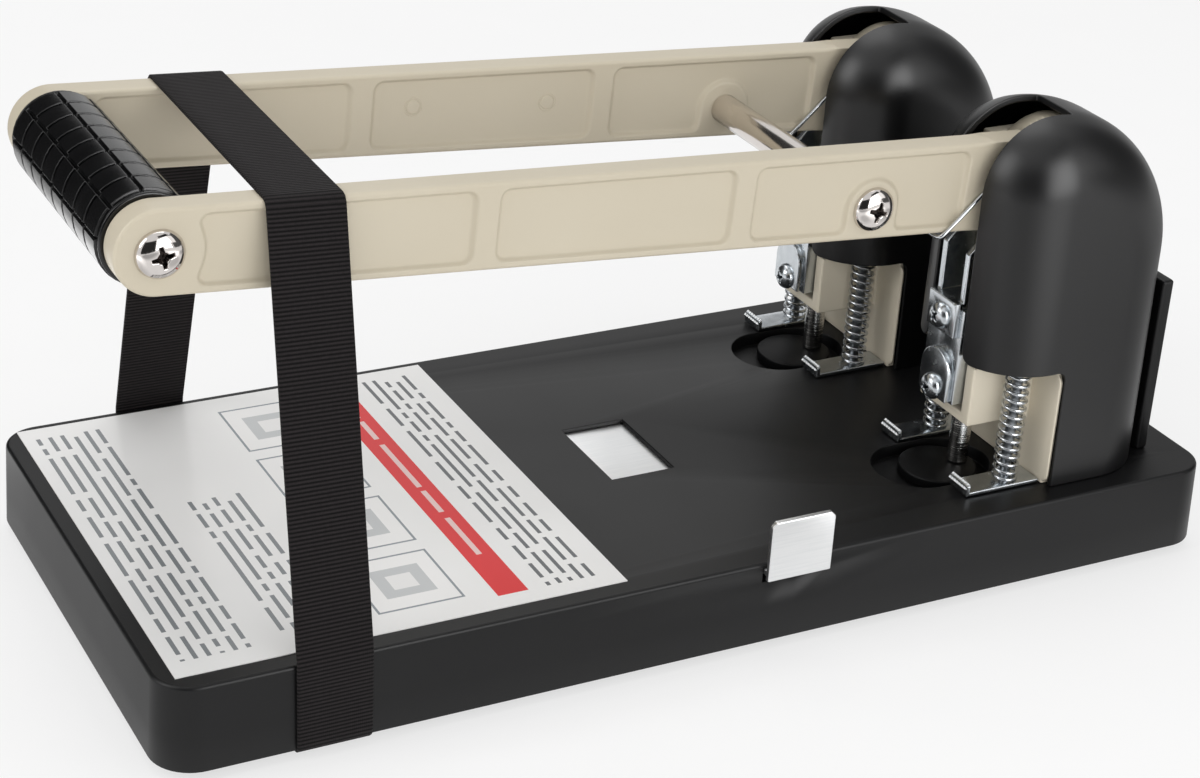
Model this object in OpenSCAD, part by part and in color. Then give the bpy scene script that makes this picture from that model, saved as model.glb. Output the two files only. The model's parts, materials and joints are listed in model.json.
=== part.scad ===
// Heavy duty two-hole desk punch, in millimetres.
// X runs along the base towards the towers, Y across it, Z up from the desk.

/* [Base] */
// Length of the base
base_len = 317; // [300:1:340]
// Width of the base
base_wid = 145; // [136:1:160]
// Height of the moulded base
base_h = 24; // [20:1:32]
// Corner radius of the base, seen from above
base_corner_r = 11; // [6:1:18]
// Thickness of the side walls of the base
base_wall = 3; // [2.4:0.1:4]
// Thickness of the top wall of the base
base_top_t = 3; // [2.4:0.1:4]
// Height of the rubber feet below the base
foot_h = 2.5; // [2.2:0.1:6]
// Radius of the rubber feet
foot_r = 8; // [5:0.5:10]
// Thickness of the bottom plate
bottom_t = 1.5; // [1:0.1:3]
// Length of the printed sheet on the base
label_len = 122.5; // [80:0.5:126]
// Width of the printed sheet
label_wid = 135.7; // [100:0.5:136]
// Thickness of the printed sheet
label_t = 0.25; // [0.1:0.05:0.5]

/* [Paper guide] */
// Width of the window over the guide
window_wid = 19.6; // [12:0.2:22]
// Length of the window across the base
window_len = 31.5; // [20:0.5:36]
// Width of the guide's tab and neck
tab_wid = 19.4; // [12:0.2:22]
// Height of the tab above the base
tab_up = 13.5; // [8:0.5:25]
// Sheet thickness of the guide
guide_t = 1.6; // [1:0.1:2]
// How far the guide pulls out
guide_travel = 45; // [20:1:45]

/* [Towers] */
// Distance between the two punched holes
hole_spacing = 80; // [76:1:84]
// Punch axis ahead of the rear end of the base
punch_setback = 67.8; // [66:0.2:72]
// Paper stop behind the punch axis
hole_inset = 13.2; // [11.5:0.1:14]
// Outer diameter of the punch
punch_d = 6; // [5.5:0.1:6.5]
// Pivot axis behind the punch axis
pivot_back = 19.3; // [18.5:0.1:20]
// Pivot axis above the base
pivot_up = 84.4; // [83:0.2:88]
// Width of a cover across the base
cover_wid = 50.4; // [50:0.2:54]
// Height of a cover above the base
cover_h = 106.4; // [105:0.2:112]
// Wall of a cover
cover_wall = 2.2; // [1.6:0.1:2.4]
// Front face of a cover ahead of the punch axis
cover_front = 10; // [9.5:0.1:11]
// Rear face of a cover behind the punch axis
cover_rear = 52.3; // [51:0.1:54]
// Radius of the rounded edges of a cover
cover_round = 20; // [18:0.5:20.5]
// Radius of the dome at the rear of a cover
dome_r = 41; // [38:0.5:42]
// Width of the slot for the arm
slot_wid = 16.6; // [16.4:0.1:18]
// Height of the side cutouts
cutout_h = 35.8; // [33:0.2:37]
// Width of a guide block
block_wid = 23.8; // [22.6:0.2:24.4]
// Underside of a guide block above the base
block_up = 16.7; // [15:0.1:18]
// Height of the rear plate
rear_plate_h = 53.8; // [45:0.5:60]
// Thickness of the rear plate
rear_plate_t = 4; // [2:0.5:6]
// Overhang of the rear plate past each tower's middle
rear_plate_lap = 15.8; // [10:0.2:24]

/* [Lever] */
// Thickness of an arm
arm_t = 8; // [7:0.1:8]
// Radius of the front end of an arm
arm_front_r = 11; // [10:0.1:12]
// Half height of an arm at the pivot
arm_rear_r = 12.9; // [12:0.1:13.2]
// Grip axis behind the front end of the base
grip_setback = 11.1; // [5:0.1:20]
// Grip axis above the base
grip_up = 100.8; // [95:0.2:106]
// Diameter of the rubber grip
grip_d = 24.8; // [20:0.2:26]
// Diameter of the tie rod
tie_d = 8.6; // [7:0.1:10]
// Tie rod ahead of the punch axis
tie_ahead = 41.7; // [38:0.1:46]
// Depth of the pockets in the arms
pocket_depth = 1.2; // [0.6:0.1:2]
// Lever travel in degrees
lift_angle = 37; // [30:1:38]

/* [Springs and strap] */
// Wire of the foot springs
spring_wire = 1; // [0.9:0.05:1.1]
// Mean radius of the foot springs
spring_r = 3.3; // [3:0.1:3.4]
// Curls of a foot spring
spring_curls = 14; // [10:1:14]
// Wire of the torsion springs
torsion_wire = 1.2; // [1:0.05:1.2]
// Width of the strap
strap_wid = 20; // [15:1:25]
// Thickness of the strap
strap_t = 1.2; // [0.8:0.1:1.6]

/* [Hidden] */
$fn = 48;
FINE = 64;
EPS = 0.02;
RUN_GAP = 0.06;
SLIDE_GAP = 0.3;
SEAT_GAP = 0.2;
CUT = 1;
NEAR = -1;
FAR = 1;

// Heights and plan of the base
base_top_z = foot_h + base_h;
base_x0 = -base_len / 2;
base_x1 = base_len / 2;
base_half = base_wid / 2;
label_gap = 5.3;
label_x = base_x0 + label_gap + label_len / 2;
label_y = 1.4;
foot_inset = 22;
boss_r = 4.5;
boss_inset = 14;
boss_side_inset = 10.5;
mid_boss_inset = 113.5;
mid_boss_x = base_x0 + mid_boss_inset;
small_screw_r = 1.5;
small_screw_len = 14;
small_head_r = 3;
small_head_h = 1.6;
screw_spots = [
  for (x = [base_x0 + boss_inset, mid_boss_x, base_x1 - boss_inset])
    for (s = [-1, 1])
      [x, s * (base_half - boss_side_inset)]
];

// Paper guide
window_inset = 159.5;
window_x = base_x0 + window_inset;
tab_offset = 16;
tab_x = window_x + tab_offset;
guide_play = 0.1;
guide_roof_t = 1.4;
guide_z0 = base_top_z - guide_roof_t - guide_play - guide_t;
guide_lap = 2.2;
guide_x0 = window_x - window_wid / 2 - guide_lap;
guide_x1 = max(tab_x + tab_wid / 2, window_x + window_wid / 2 + guide_lap);
shoulder_gap = 2.5;
shoulder_y = -base_half + base_wall + shoulder_gap + guide_travel;
keeper_inset = 2;
guide_over = 1.25;
guide_y1 = window_len / 2 + guide_travel + guide_over;
tab_chamfer = 1.3;
tab_drop = 1.2;
slot_drop = 1.3;
tab_gap = 0.7;
keeper_t = 1.5;
keeper_rail = 2.7;

// Tower places, measured from the punch axis at the top of the base
punch_x = base_x1 - punch_setback;
tower_y = hole_spacing / 2;
pivot_r = 5;
collar_t = 1.4;
collar_step = 2;
ear_r = 13;
ear_lead = 3;
ear_flat = 12;
bush_wall = 1.5;
hub_r = 17;
hub_step = 0.4;
hub_hollow_r = 10.5;
hub_low = 10.1;
pin_r = 3;
pin_drop = 6;
lift = pivot_back * (sin(lift_angle - pin_tilt()) + sin(pin_tilt())) / cos(pin_tilt());
foot_drop = 2.8;
foot_play = 0.1;

// Covers
cover_half = cover_wid / 2;
dome_x = cover_rear - dome_r;
dome_z = cover_h - dome_r;
brow_r = dome_x + cover_front;
brow_z = cover_h - brow_r;
slot_half = slot_wid / 2;
slot_lead = 2.2;
slot_back = pivot_back - slot_lead;
wall_t = 3;
stop_t = 1;
cutout_back = hole_inset + stop_t + SLIDE_GAP;
cutout_r = 2.4;

// Punch frames
block_half = block_wid / 2;
channel_half = slot_half - SLIDE_GAP;
block_front = 7.2;
round_in = cover_round - cover_wall;
corner_in = round_in - sqrt(round_in * round_in - pow(block_half - cover_half + cover_round, 2));
cheek_front = min(block_front, cover_front - cover_wall - corner_in - SLIDE_GAP);
web_t = 3;
wall_half = cover_half - cover_wall - 0.4;
wall_over = 6;
stop_half = cover_half - 0.5;
stop_z0 = 1;
stop_z1 = cutout_h - 1.2;
stop_r = 2.6;
wall_up = cutout_h + wall_over;
cheek_up = 66;
floor_t = 4;
post_x1 = cover_rear - cover_wall - SLIDE_GAP;
post_t = 5.5;
post_half = cover_half - cover_round + 2;
post_up = rear_plate_h - 2;
cheek_rear_z = 30;
bolt_r = 2.5;
bolt_head_r = 4.5;
bolt_head_h = 3;
front_bolt_back = 9;
front_bolt_y = 17;
rear_bolt_back = 27;
rear_bolt_y = 12.5;
bolt_spots = [
  for (s = [-1, 1])
    for (b = [[hole_inset + front_bolt_back, front_bolt_y], [hole_inset + rear_bolt_back, rear_bolt_y]])
      [b.x, s * b.y]
];

// Cutting discs and their recesses
disc_x = -6.7;
disc_r = 11.3;
disc_t = 3;
disc_down = 0.8;
recess_half = 13.3;
scoop_len = 7;
recess_slack = 2;
recess_x0 = disc_x - scoop_len;
recess_x1 = disc_x + recess_slack;
recess_depth = disc_down + disc_t + SEAT_GAP;
peg_r = 2;
peg_h = 1.8;

// Sliders and what they carry
slider_front = 10.3;
slider_half = channel_half - SLIDE_GAP;
slider_back = hole_inset - wall_t - 0.4;
slider_over = 2.3;
slider_z0 = block_up + web_t + slider_over;
slider_h = 29;
slider_z1 = slider_z0 + slider_h;
plate_t = 1.8;
plate_half = 6.5;
plate_x = -slider_front - plate_t;
clamp_over = 0.4;
clamp_straight = 8;
clamp_z0 = slider_z0 + clamp_over;
clamp_z1 = clamp_z0 + clamp_straight;
flange_h = 8.6;
flange_z0 = slider_z1 - flange_h;
plate_screw_r = 1.6;
plate_head_r = 3.5;
plate_head_h = 2.4;
clamp_screw_up = 2.7;
flange_screw_up = 4.7;
plate_screw_deep = 5;
ear_in = arm_t / 2 + 0.4;
ear_out = ear_in + 2;
ear_front = slider_front - 0.6;
ear_step = 5;
ear_neck = 4.7;
ear_back = 5.5;
ear_over = 5.6;
pin_z = pivot_up - pin_drop;
pin_play = 1.2;
pin_half = ear_out + 0.5;
bar_half = 3.3;
bar_peek = 0.5;
bar_z0 = cutout_h - bar_peek;
bar_t = 5.5;
foot_y = 17.5;
coil_clear = 0.25;
coil_reach = round_in - spring_r - spring_wire / 2 - coil_clear;
coil_side = foot_y - cover_half + cover_round;
bar_x = cover_round - cover_front - sqrt(max(0, pow(coil_reach, 2) - pow(coil_side, 2)));
foot_wid = 8.8;
foot_t = 1.2;
lip_h = 2.1;
foot_front = cover_front + 1.8;
foot_back = hole_inset - 0.4;
rod_r = 1.5;
rod_head_r = 2.6;
rod_head_h = 2.5;
punch_top = bar_z0 - 0.4;
tip_gap = 0.2;
punch_bore_r = punch_d / 2 - 1;

// Lever
pivot_x = punch_x + pivot_back;
pivot_z = base_top_z + pivot_up;
grip_x = base_x0 + grip_setback;
grip_z = base_top_z + grip_up;
arm_len = norm([pivot_x - grip_x, grip_z - pivot_z]);
arm_tilt = atan2(grip_z - pivot_z, pivot_x - grip_x);
arm_in = tower_y - arm_t / 2;
arm_out = tower_y + arm_t / 2;
hub_half = channel_half - 0.5;
tie_x = punch_x - tie_ahead;
tie_rise = 8.7;
tie_z = arm_edge_z(tie_x, -1) + tie_rise;
pocket_rim = 1.9;
pocket_r = 3;
pocket_u0 = 31.4;
pocket_gap = 6;
pocket_ribs = [0.322, 0.659];
pocket_end = 9.2;
pocket_span = arm_len - pocket_end - pocket_u0;
pocket_rib_u = [for (share = pocket_ribs) pocket_u0 + share * pocket_span];
pocket_from = concat([pocket_u0], [for (u = pocket_rib_u) u + pocket_gap / 2]);
pocket_to = concat([for (u = pocket_rib_u) u - pocket_gap / 2], [pocket_u0 + pocket_span]);
grip_boss_r = 11;
tie_boss_r = 7.8;
pocket_blend = 2;
grip_tube_r = 7;
grip_screw_r = 3;
tie_screw_r = 2.5;
thread_len = 12;
head_r = 6.2;
head_h = 3.2;
grip_rings = 7;
ring_groove = 0.8;

// Springs and strap
spring_foot_z = SLIDE_GAP + foot_t;
spring_len = bar_z0 - spring_foot_z;
torsion_r = 7.2;
torsion_turns = 1.25;
torsion_leg = 20;
torsion_leg_bend = 8;
hook_ahead = 19.2;
hook_slope = 40;
hook_play = 0.5;
hook_curl = 1.6;
bend_run = 2;
strap_inset = 45.5;
strap_x = base_x0 + strap_inset;
strap_gap = 0.2;

// Tilt of the line from the pivot to the drive pin
function pin_tilt() = atan2(pin_drop, pivot_back);
// Points along an arc from angle a0 to a1
function arc(c, r, a0, a1, n = 10) = [
  for (i = [0:n])
    let (a = a0 + (a1 - a0) * i / n)
      c + r * [cos(a), sin(a)]
];
// Half height of an arm at distance u from the pivot
function arm_half(u) = arm_rear_r + (arm_front_r - arm_rear_r) * u / arm_len;
// A point of the side view, u along the arm from the pivot and w square to it
function arm_pt(u, w) = [
  pivot_x - u * cos(arm_tilt) + w * sin(arm_tilt),
  pivot_z + u * sin(arm_tilt) + w * cos(arm_tilt)
];
// Height of the upper (1) or lower (-1) edge of an arm at x
function arm_edge_z(x, s) =
  let (u = (pivot_x - x) / cos(arm_tilt))
  pivot_z + u * sin(arm_tilt) + s * arm_half(u) * cos(arm_tilt);
// Half outline of a cover: distance from the dome's axis, and place across the tower
function shell_outline(r, half, round_r) = concat(
  [[0, -half]],
  arc([r - round_r, round_r - half], round_r, -90, 0),
  arc([r - round_r, half - round_r], round_r, 0, 90),
  [[0, half]]
);
// Outline of a floor inside a cover, from x0 to its rounded rear end at x1
function floor_outline(x0, x1, half, round_r) = concat(
  [[x0, -half]],
  arc([x1 - round_r, round_r - half], round_r, -90, 0),
  arc([x1 - round_r, half - round_r], round_r, 0, 90),
  [[x0, half]]
);
// Corner of a pocket, rounded towards the inside of the pocket
function pocket_corner(u, w, su, sw, a0) =
  [for (p = arc([u + su * pocket_r, w + sw * pocket_r], pocket_r, a0, a0 + 90, 6)) arm_pt(p.x, p.y)];
// Outline of a pocket between u0 and u1, following the taper of the arm
function pocket_outline(u0, u1) =
  let (h0 = arm_half(u0) - pocket_rim, h1 = arm_half(u1) - pocket_rim)
  concat(
    pocket_corner(u0, -h0, 1, 1, 180),
    pocket_corner(u1, -h1, -1, 1, 270),
    pocket_corner(u1, h1, -1, -1, 0),
    pocket_corner(u0, h0, 1, -1, 90)
  );

// Unit vector
function unit(v) = v / norm(v);
// Direction of a path at point i
function along(path, i) = unit(path[min(i + 1, len(path) - 1)] - path[max(i - 1, 0)]);
// Vector n made square to direction t
function square_to(n, t) = unit(n - (n * t) * t);
// One normal for each point of a path, carried along without twist
function normals(path, n, i = 0) =
  let (m = square_to(n, along(path, i)))
  i == len(path) - 1 ? [m] : concat([m], normals(path, m, i + 1));
// Smallest distance between points of a path at least `skip` points apart
function least_apart(path, skip) = min([
  for (i = [0:len(path) - 1 - skip])
    for (j = [i + skip:len(path) - 1])
      norm(path[i] - path[j])
]);

// One unbroken tube along a path
module tube(path, r, first_normal, sides = 6) {
  ns = normals(path, first_normal);
  pts = [
    for (i = [0:len(path) - 1])
      let (t = along(path, i), b = cross(t, ns[i]))
        for (k = [0:sides - 1])
          path[i] + r * (cos(360 * k / sides) * ns[i] + sin(360 * k / sides) * b)
  ];
  last = (len(path) - 1) * sides;
  faces = concat(
    [for (k = [1:sides - 2]) [0, k, k + 1]],
    [
      for (i = [0:len(path) - 2])
        for (k = [0:sides - 1])
          let (a = i * sides + k, b = i * sides + (k + 1) % sides)
            for (f = [[a, a + sides, b], [b, a + sides, b + sides]])
              f
    ],
    [for (k = [1:sides - 2]) [last, last + k + 1, last + k]]
  );
  polyhedron(points = pts, faces = faces);
}

// Moves its children to a tower, at the punch axis on top of the base
module at_tower(side) {
  translate([punch_x, side * tower_y, base_top_z])
    children();
}

// Extrudes a side view, drawn in x and z, from y0 to y1
module side_plate(y0, y1) {
  translate([0, y1, 0])
    rotate([90, 0, 0])
      linear_extrude(y1 - y0)
        children();
}

// A cylinder along Y from y0 to y1
module rod_y(x, z, r, y0, y1) {
  translate([x, y1, z])
    rotate([90, 0, 0])
      cylinder(r = r, h = y1 - y0, $fn = FINE);
}

// A cylinder along X from x0 to x1
module rod_x(y, z, r, x0, x1) {
  translate([x0, y, z])
    rotate([0, 90, 0])
      cylinder(r = r, h = x1 - x0);
}

// Rectangle with round corners
module round_rect(l, w, r) {
  square([l - 2 * r, w], center = true);
  square([l, w - 2 * r], center = true);
  for (x = [-1, 1])
    for (y = [-1, 1])
      translate([x * (l / 2 - r), y * (w / 2 - r)])
        circle(r);
}

// Slot with round ends
module stadium(x0, x1, r) {
  translate([x0, -r])
    square([x1 - x0, 2 * r]);
  translate([x0, 0])
    circle(r);
  translate([x1, 0])
    circle(r);
}

// Pan head screw with a cross recess, head up, shank down from the origin
module pan_screw(shank_r, shank_len, cap_r, cap_h) {
  difference() {
    union() {
      translate([0, 0, -shank_len])
        cylinder(r = shank_r, h = shank_len + EPS);
      rotate_extrude()
        polygon(concat(
          [[0, 0], [cap_r, 0]],
          arc([cap_r - cap_h * 0.8, cap_h * 0.2], cap_h * 0.8, 0, 90, 6),
          [[0, cap_h]]
        ));
    }
    for (a = [0, 90])
      rotate([0, 0, a])
        translate([-cap_r * 0.5, -cap_r * 0.1, cap_h * 0.45])
          cube([cap_r, cap_r * 0.2, cap_h]);
  }
}

// Moulded base with its recesses, window, guide slot and bosses
module base_shell() {
  color("#2b2a2c")
    difference() {
      union() {
        difference() {
          translate([0, 0, foot_h])
            linear_extrude(base_h)
              round_rect(base_len, base_wid, base_corner_r);
          translate([0, 0, foot_h - CUT])
            linear_extrude(base_h - base_top_t + CUT)
              round_rect(base_len - 2 * base_wall, base_wid - 2 * base_wall, base_corner_r - base_wall);
        }
        for (s = screw_spots)
          translate([s.x, s.y, foot_h + bottom_t])
            cylinder(r = boss_r, h = base_h - bottom_t - base_top_t + EPS);
        for (side = [NEAR, FAR])
          at_tower(side)
            translate([0, 0, -recess_depth - base_top_t])
              linear_extrude(recess_depth + EPS)
                stadium(recess_x0, recess_x1, recess_half + base_wall);
      }
      for (s = screw_spots)
        translate([s.x, s.y, foot_h])
          cylinder(r = small_screw_r + EPS, h = base_h - base_top_t);
      for (side = [NEAR, FAR])
        at_tower(side) {
          difference() {
            translate([0, 0, -recess_depth])
              linear_extrude(recess_depth + CUT)
                stadium(recess_x0, recess_x1, recess_half);
            translate([disc_x, 0, -recess_depth - CUT])
              cylinder(r = peg_r, h = peg_h + CUT);
          }
          for (b = bolt_spots)
            translate([b.x, b.y, -base_top_t - CUT])
              cylinder(r = bolt_r + EPS, h = base_top_t + 2 * CUT);
        }
      translate([window_x - window_wid / 2, -window_len / 2, base_top_z - base_top_t - CUT])
        cube([window_wid, window_len, base_top_t + 2 * CUT]);
      translate([guide_x0 - SLIDE_GAP, base_wall - base_half, base_top_z - base_top_t - CUT])
        cube([
          guide_x1 - guide_x0 + 2 * SLIDE_GAP,
          guide_y1 + base_half - base_wall + SLIDE_GAP,
          base_top_t - guide_roof_t + CUT
        ]);
      translate([tab_x - tab_wid / 2 - SLIDE_GAP, -base_half - CUT, guide_z0 - tab_drop - slot_drop])
        cube([
          tab_wid + 2 * SLIDE_GAP,
          base_wall + 2 * CUT,
          guide_t + tab_drop + slot_drop + SLIDE_GAP
        ]);
    }
}

// Sheet steel plate that closes the base
module bottom_plate() {
  color("#3a3a3c")
    difference() {
      translate([0, 0, foot_h])
        linear_extrude(bottom_t)
          round_rect(
            base_len - 2 * (base_wall + SLIDE_GAP),
            base_wid - 2 * (base_wall + SLIDE_GAP),
            base_corner_r - base_wall - SLIDE_GAP
          );
      for (s = screw_spots)
        translate([s.x, s.y, foot_h - CUT])
          cylinder(r = small_screw_r + EPS, h = bottom_t + 2 * CUT);
    }
}

// Four rubber feet
module rubber_feet() {
  color("#1c1c1d")
    for (x = [-1, 1])
      for (y = [-1, 1])
        translate([x * (base_len / 2 - foot_inset), y * (base_half - foot_inset), 0])
          cylinder(r = foot_r, h = foot_h);
}

// Screws of the bottom plate
module bottom_screws() {
  color("#b9bcc0")
    for (s = screw_spots)
      translate([s.x, s.y, foot_h])
        rotate([180, 0, 0])
          pan_screw(small_screw_r, small_screw_len, small_head_r, small_head_h);
}

// Printed sheet on the base
module instruction_label() {
  color("#e4e6e8")
    translate([label_x, label_y, base_top_z])
      linear_extrude(label_t)
        square([label_len, label_wid], center = true);
}

// Sheet metal guide with its upturned tab
module paper_guide() {
  tab_y = -base_half - tab_gap;
  tab_z1 = base_top_z + tab_up;
  color("#d5d7d9") {
    translate([guide_x0, shoulder_y, guide_z0])
      cube([guide_x1 - guide_x0, guide_y1 - shoulder_y, guide_t]);
    translate([tab_x - tab_wid / 2, tab_y - guide_t, guide_z0])
      cube([tab_wid, shoulder_y - tab_y + guide_t, guide_t]);
    side_plate(tab_y - guide_t, tab_y)
      polygon([
        [tab_x - tab_wid / 2, guide_z0 - tab_drop],
        [tab_x + tab_wid / 2, guide_z0 - tab_drop],
        [tab_x + tab_wid / 2, tab_z1 - tab_chamfer],
        [tab_x + tab_wid / 2 - tab_chamfer, tab_z1],
        [tab_x - tab_wid / 2 + tab_chamfer, tab_z1],
        [tab_x - tab_wid / 2, tab_z1 - tab_chamfer]
      ]);
  }
}

// Channel under the top wall that carries the guide
module guide_keeper() {
  keeper_y0 = shoulder_y - guide_travel + keeper_inset;
  keeper_y1 = guide_y1 + keeper_inset;
  inner_x0 = guide_x0 - SLIDE_GAP;
  inner_x1 = guide_x1 + SLIDE_GAP;
  color("#8d9094")
    difference() {
      translate([inner_x0 - keeper_rail, keeper_y0, guide_z0 - guide_play - keeper_t])
        cube([
          inner_x1 - inner_x0 + 2 * keeper_rail,
          keeper_y1 - keeper_y0,
          base_top_z - base_top_t - guide_z0 + guide_play + keeper_t
        ]);
      translate([inner_x0, keeper_y0 - CUT, guide_z0 - guide_play])
        cube([inner_x1 - inner_x0, keeper_y1 - keeper_y0 + 2 * CUT, base_h]);
    }
}

// Loose disc that the punch cuts against
module cutting_disc(side) {
  color("#222223")
    at_tower(side)
      translate([disc_x, 0, -disc_down - disc_t])
        difference() {
          cylinder(r = disc_r, h = disc_t, $fn = FINE);
          translate([0, 0, -CUT])
            cylinder(r = peg_r + RUN_GAP, h = peg_h + CUT + 0.2);
        }
}

// Side view of the cheeks of a punch frame
module cheek_view() {
  polygon([
    [-block_front, block_up],
    [-block_front, cutout_h - CUT],
    [-cheek_front, cutout_h - CUT],
    [-cheek_front, cheek_up],
    [ear_lead, pivot_up],
    [ear_lead, pivot_up + ear_flat],
    [pivot_back, pivot_up + ear_flat],
    [pivot_back + ear_r, pivot_up],
    [post_x1 - post_t, cheek_rear_z],
    [post_x1 - post_t, 0],
    [hole_inset, 0],
    [hole_inset, block_up]
  ]);
  translate([pivot_back, pivot_up])
    circle(ear_r, $fn = FINE);
}

// Cast frame: guide block, paper stop, ears for the pivot, floor and rear post
module punch_frame(side) {
  color("#cfc7b5")
    at_tower(side)
      difference() {
        union() {
          for (y = [-block_half, channel_half])
            side_plate(y, y + block_half - channel_half)
              cheek_view();
          translate([-block_front, -block_half, block_up])
            cube([block_front + hole_inset + wall_t, block_wid, web_t]);
          translate([hole_inset - wall_t, -block_half, block_up])
            cube([wall_t + EPS, block_wid, cheek_up - block_up]);
          translate([hole_inset, -wall_half, 0])
            cube([wall_t, 2 * wall_half, wall_up]);
          translate([hole_inset, 0, (stop_z0 + stop_z1) / 2])
            rotate([90, 0, 90])
              linear_extrude(stop_t)
                round_rect(2 * stop_half, stop_z1 - stop_z0, stop_r);
          linear_extrude(floor_t)
            polygon(floor_outline(hole_inset, post_x1, wall_half, round_in));
          translate([post_x1 - post_t, -post_half, 0])
            cube([post_t, 2 * post_half, post_up]);
        }
        translate([0, 0, block_up - CUT])
          cylinder(r = punch_d / 2 + RUN_GAP, h = web_t + 2 * CUT);
        rod_y(pivot_back, pivot_up, pivot_r + EPS, -cover_half, cover_half);
        translate([bar_x - bar_half - SLIDE_GAP, -cover_half, bar_z0 - SLIDE_GAP])
          cube([2 * (bar_half + SLIDE_GAP), cover_wid, bar_t + lift + 2 * SLIDE_GAP]);
        for (b = bolt_spots)
          translate([b.x, b.y, -CUT])
            cylinder(r = bolt_r + EPS, h = floor_t + 2 * CUT);
        for (z = rear_screw_heights())
          rod_x(0, z, plate_screw_r + EPS, post_x1 - post_t - CUT, post_x1 + CUT);
      }
}

// Heights of the rear plate screws above the base
function rear_screw_heights() = [rear_plate_h * 0.3, rear_plate_h * 0.75];

// Rounded bullet shape of a cover, shrunk all round by t
module cover_form(t, down) {
  front_profile = shell_outline(brow_r - t, cover_half - t, cover_round - t);
  rear_profile = shell_outline(dome_r - t, cover_half - t, cover_round - t);
  translate([dome_x, 0, -down])
    linear_extrude(brow_z + down)
      mirror([1, 0])
        polygon(front_profile);
  translate([dome_x, 0, -down])
    linear_extrude(dome_z + down)
      polygon(rear_profile);
  translate([dome_x, 0, brow_z])
    rotate([90, 0, 0])
      rotate([0, 0, 90])
        rotate_extrude(angle = 90)
          polygon(front_profile);
  translate([dome_x, 0, dome_z])
    rotate([90, 0, 0])
      rotate_extrude(angle = 90)
        polygon(rear_profile);
}

// Domed cover with its arm slot and side cutouts
module tower_cover(side) {
  cut_len = cover_front + cutout_back + CUT;
  color("#333236")
    at_tower(side)
      difference() {
        cover_form(0, 0);
        cover_form(cover_wall, CUT);
        translate([-cover_front - CUT, -slot_half, cutout_h - CUT])
          cube([cover_front + CUT + slot_back, slot_wid, cover_h]);
        side_plate(-cover_half - CUT, cover_half + CUT)
          union() {
            translate([-cover_front - CUT, -CUT])
              square([cut_len - cutout_r, cutout_h + CUT]);
            translate([-cover_front - CUT, -CUT])
              square([cut_len, cutout_h + CUT - cutout_r]);
            translate([cutout_back - cutout_r, cutout_h - cutout_r])
              circle(cutout_r);
          }
        for (z = rear_screw_heights())
          rod_x(0, z, plate_screw_r + EPS, post_x1, cover_rear + CUT);
      }
}

// Shaft that an arm turns on, with a collar at each end
module pivot_pin(side) {
  color("#b9bcc0")
    at_tower(side) {
      rod_y(pivot_back, pivot_up, pivot_r, -block_half - collar_t, block_half + collar_t);
      for (y = [-block_half - collar_t, block_half])
        rod_y(pivot_back, pivot_up, pivot_r + collar_step, y, y + collar_t);
    }
}

// Bolts from under the base into the punch frames
module frame_bolts() {
  color("#b9bcc0")
    for (side = [NEAR, FAR])
      at_tower(side)
        for (b = bolt_spots)
          translate([b.x, b.y, -base_top_t])
            rotate([180, 0, 0])
              pan_screw(bolt_r, base_top_t + floor_t - 0.5, bolt_head_r, bolt_head_h);
}

// Plate behind both towers
module rear_plate() {
  plate_half_wid = tower_y + rear_plate_lap;
  color("#2b2a2c")
    difference() {
      translate([punch_x + cover_rear, -plate_half_wid, base_top_z])
        cube([rear_plate_t, 2 * plate_half_wid, rear_plate_h]);
      for (side = [NEAR, FAR])
        for (z = rear_screw_heights())
          rod_x(
            side * tower_y,
            base_top_z + z,
            plate_screw_r + EPS,
            punch_x + cover_rear - CUT,
            punch_x + cover_rear + rear_plate_t + CUT
          );
    }
}

// Screws through the rear plate and the covers into the frames
module rear_plate_screws() {
  shank = rear_plate_t + cover_rear - post_x1 + post_t;
  color("#b9bcc0")
    for (side = [NEAR, FAR])
      at_tower(side)
        for (z = rear_screw_heights())
          translate([cover_rear + rear_plate_t, 0, z])
            rotate([0, 90, 0])
              pan_screw(plate_screw_r, shank, plate_head_r, plate_head_h);
}

// Block that slides in the frame and holds the punch
module slider(side) {
  color("#7f8286")
    at_tower(side)
      difference() {
        translate([-slider_front, -slider_half, slider_z0])
          cube([slider_front + slider_back, 2 * slider_half, slider_z1 - slider_z0]);
        translate([0, 0, slider_z0 - CUT])
          cylinder(r = punch_d / 2 + EPS, h = punch_top - slider_z0 + CUT);
        translate([bar_x - bar_half - EPS, -slider_half - CUT, bar_z0 - EPS])
          cube([2 * (bar_half + EPS), 2 * (slider_half + CUT), bar_t + 2 * EPS]);
        for (z = slider_screw_heights())
          rod_x(0, z, plate_screw_r + EPS, -slider_front - CUT, plate_screw_deep + CUT - slider_front);
      }
}

// Heights of the two screws on the front of a slider
function slider_screw_heights() = [clamp_z0 + clamp_screw_up, flange_z0 + flange_screw_up];

// Hollow punch
module punch(side) {
  tip_z = -disc_down + tip_gap;
  color("#c9ccd0")
    at_tower(side)
      difference() {
        translate([0, 0, tip_z])
          cylinder(r = punch_d / 2, h = punch_top - tip_z);
        translate([0, 0, tip_z - CUT])
          cylinder(r = punch_bore_r, h = punch_top - tip_z + 2 * CUT);
      }
}

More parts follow.
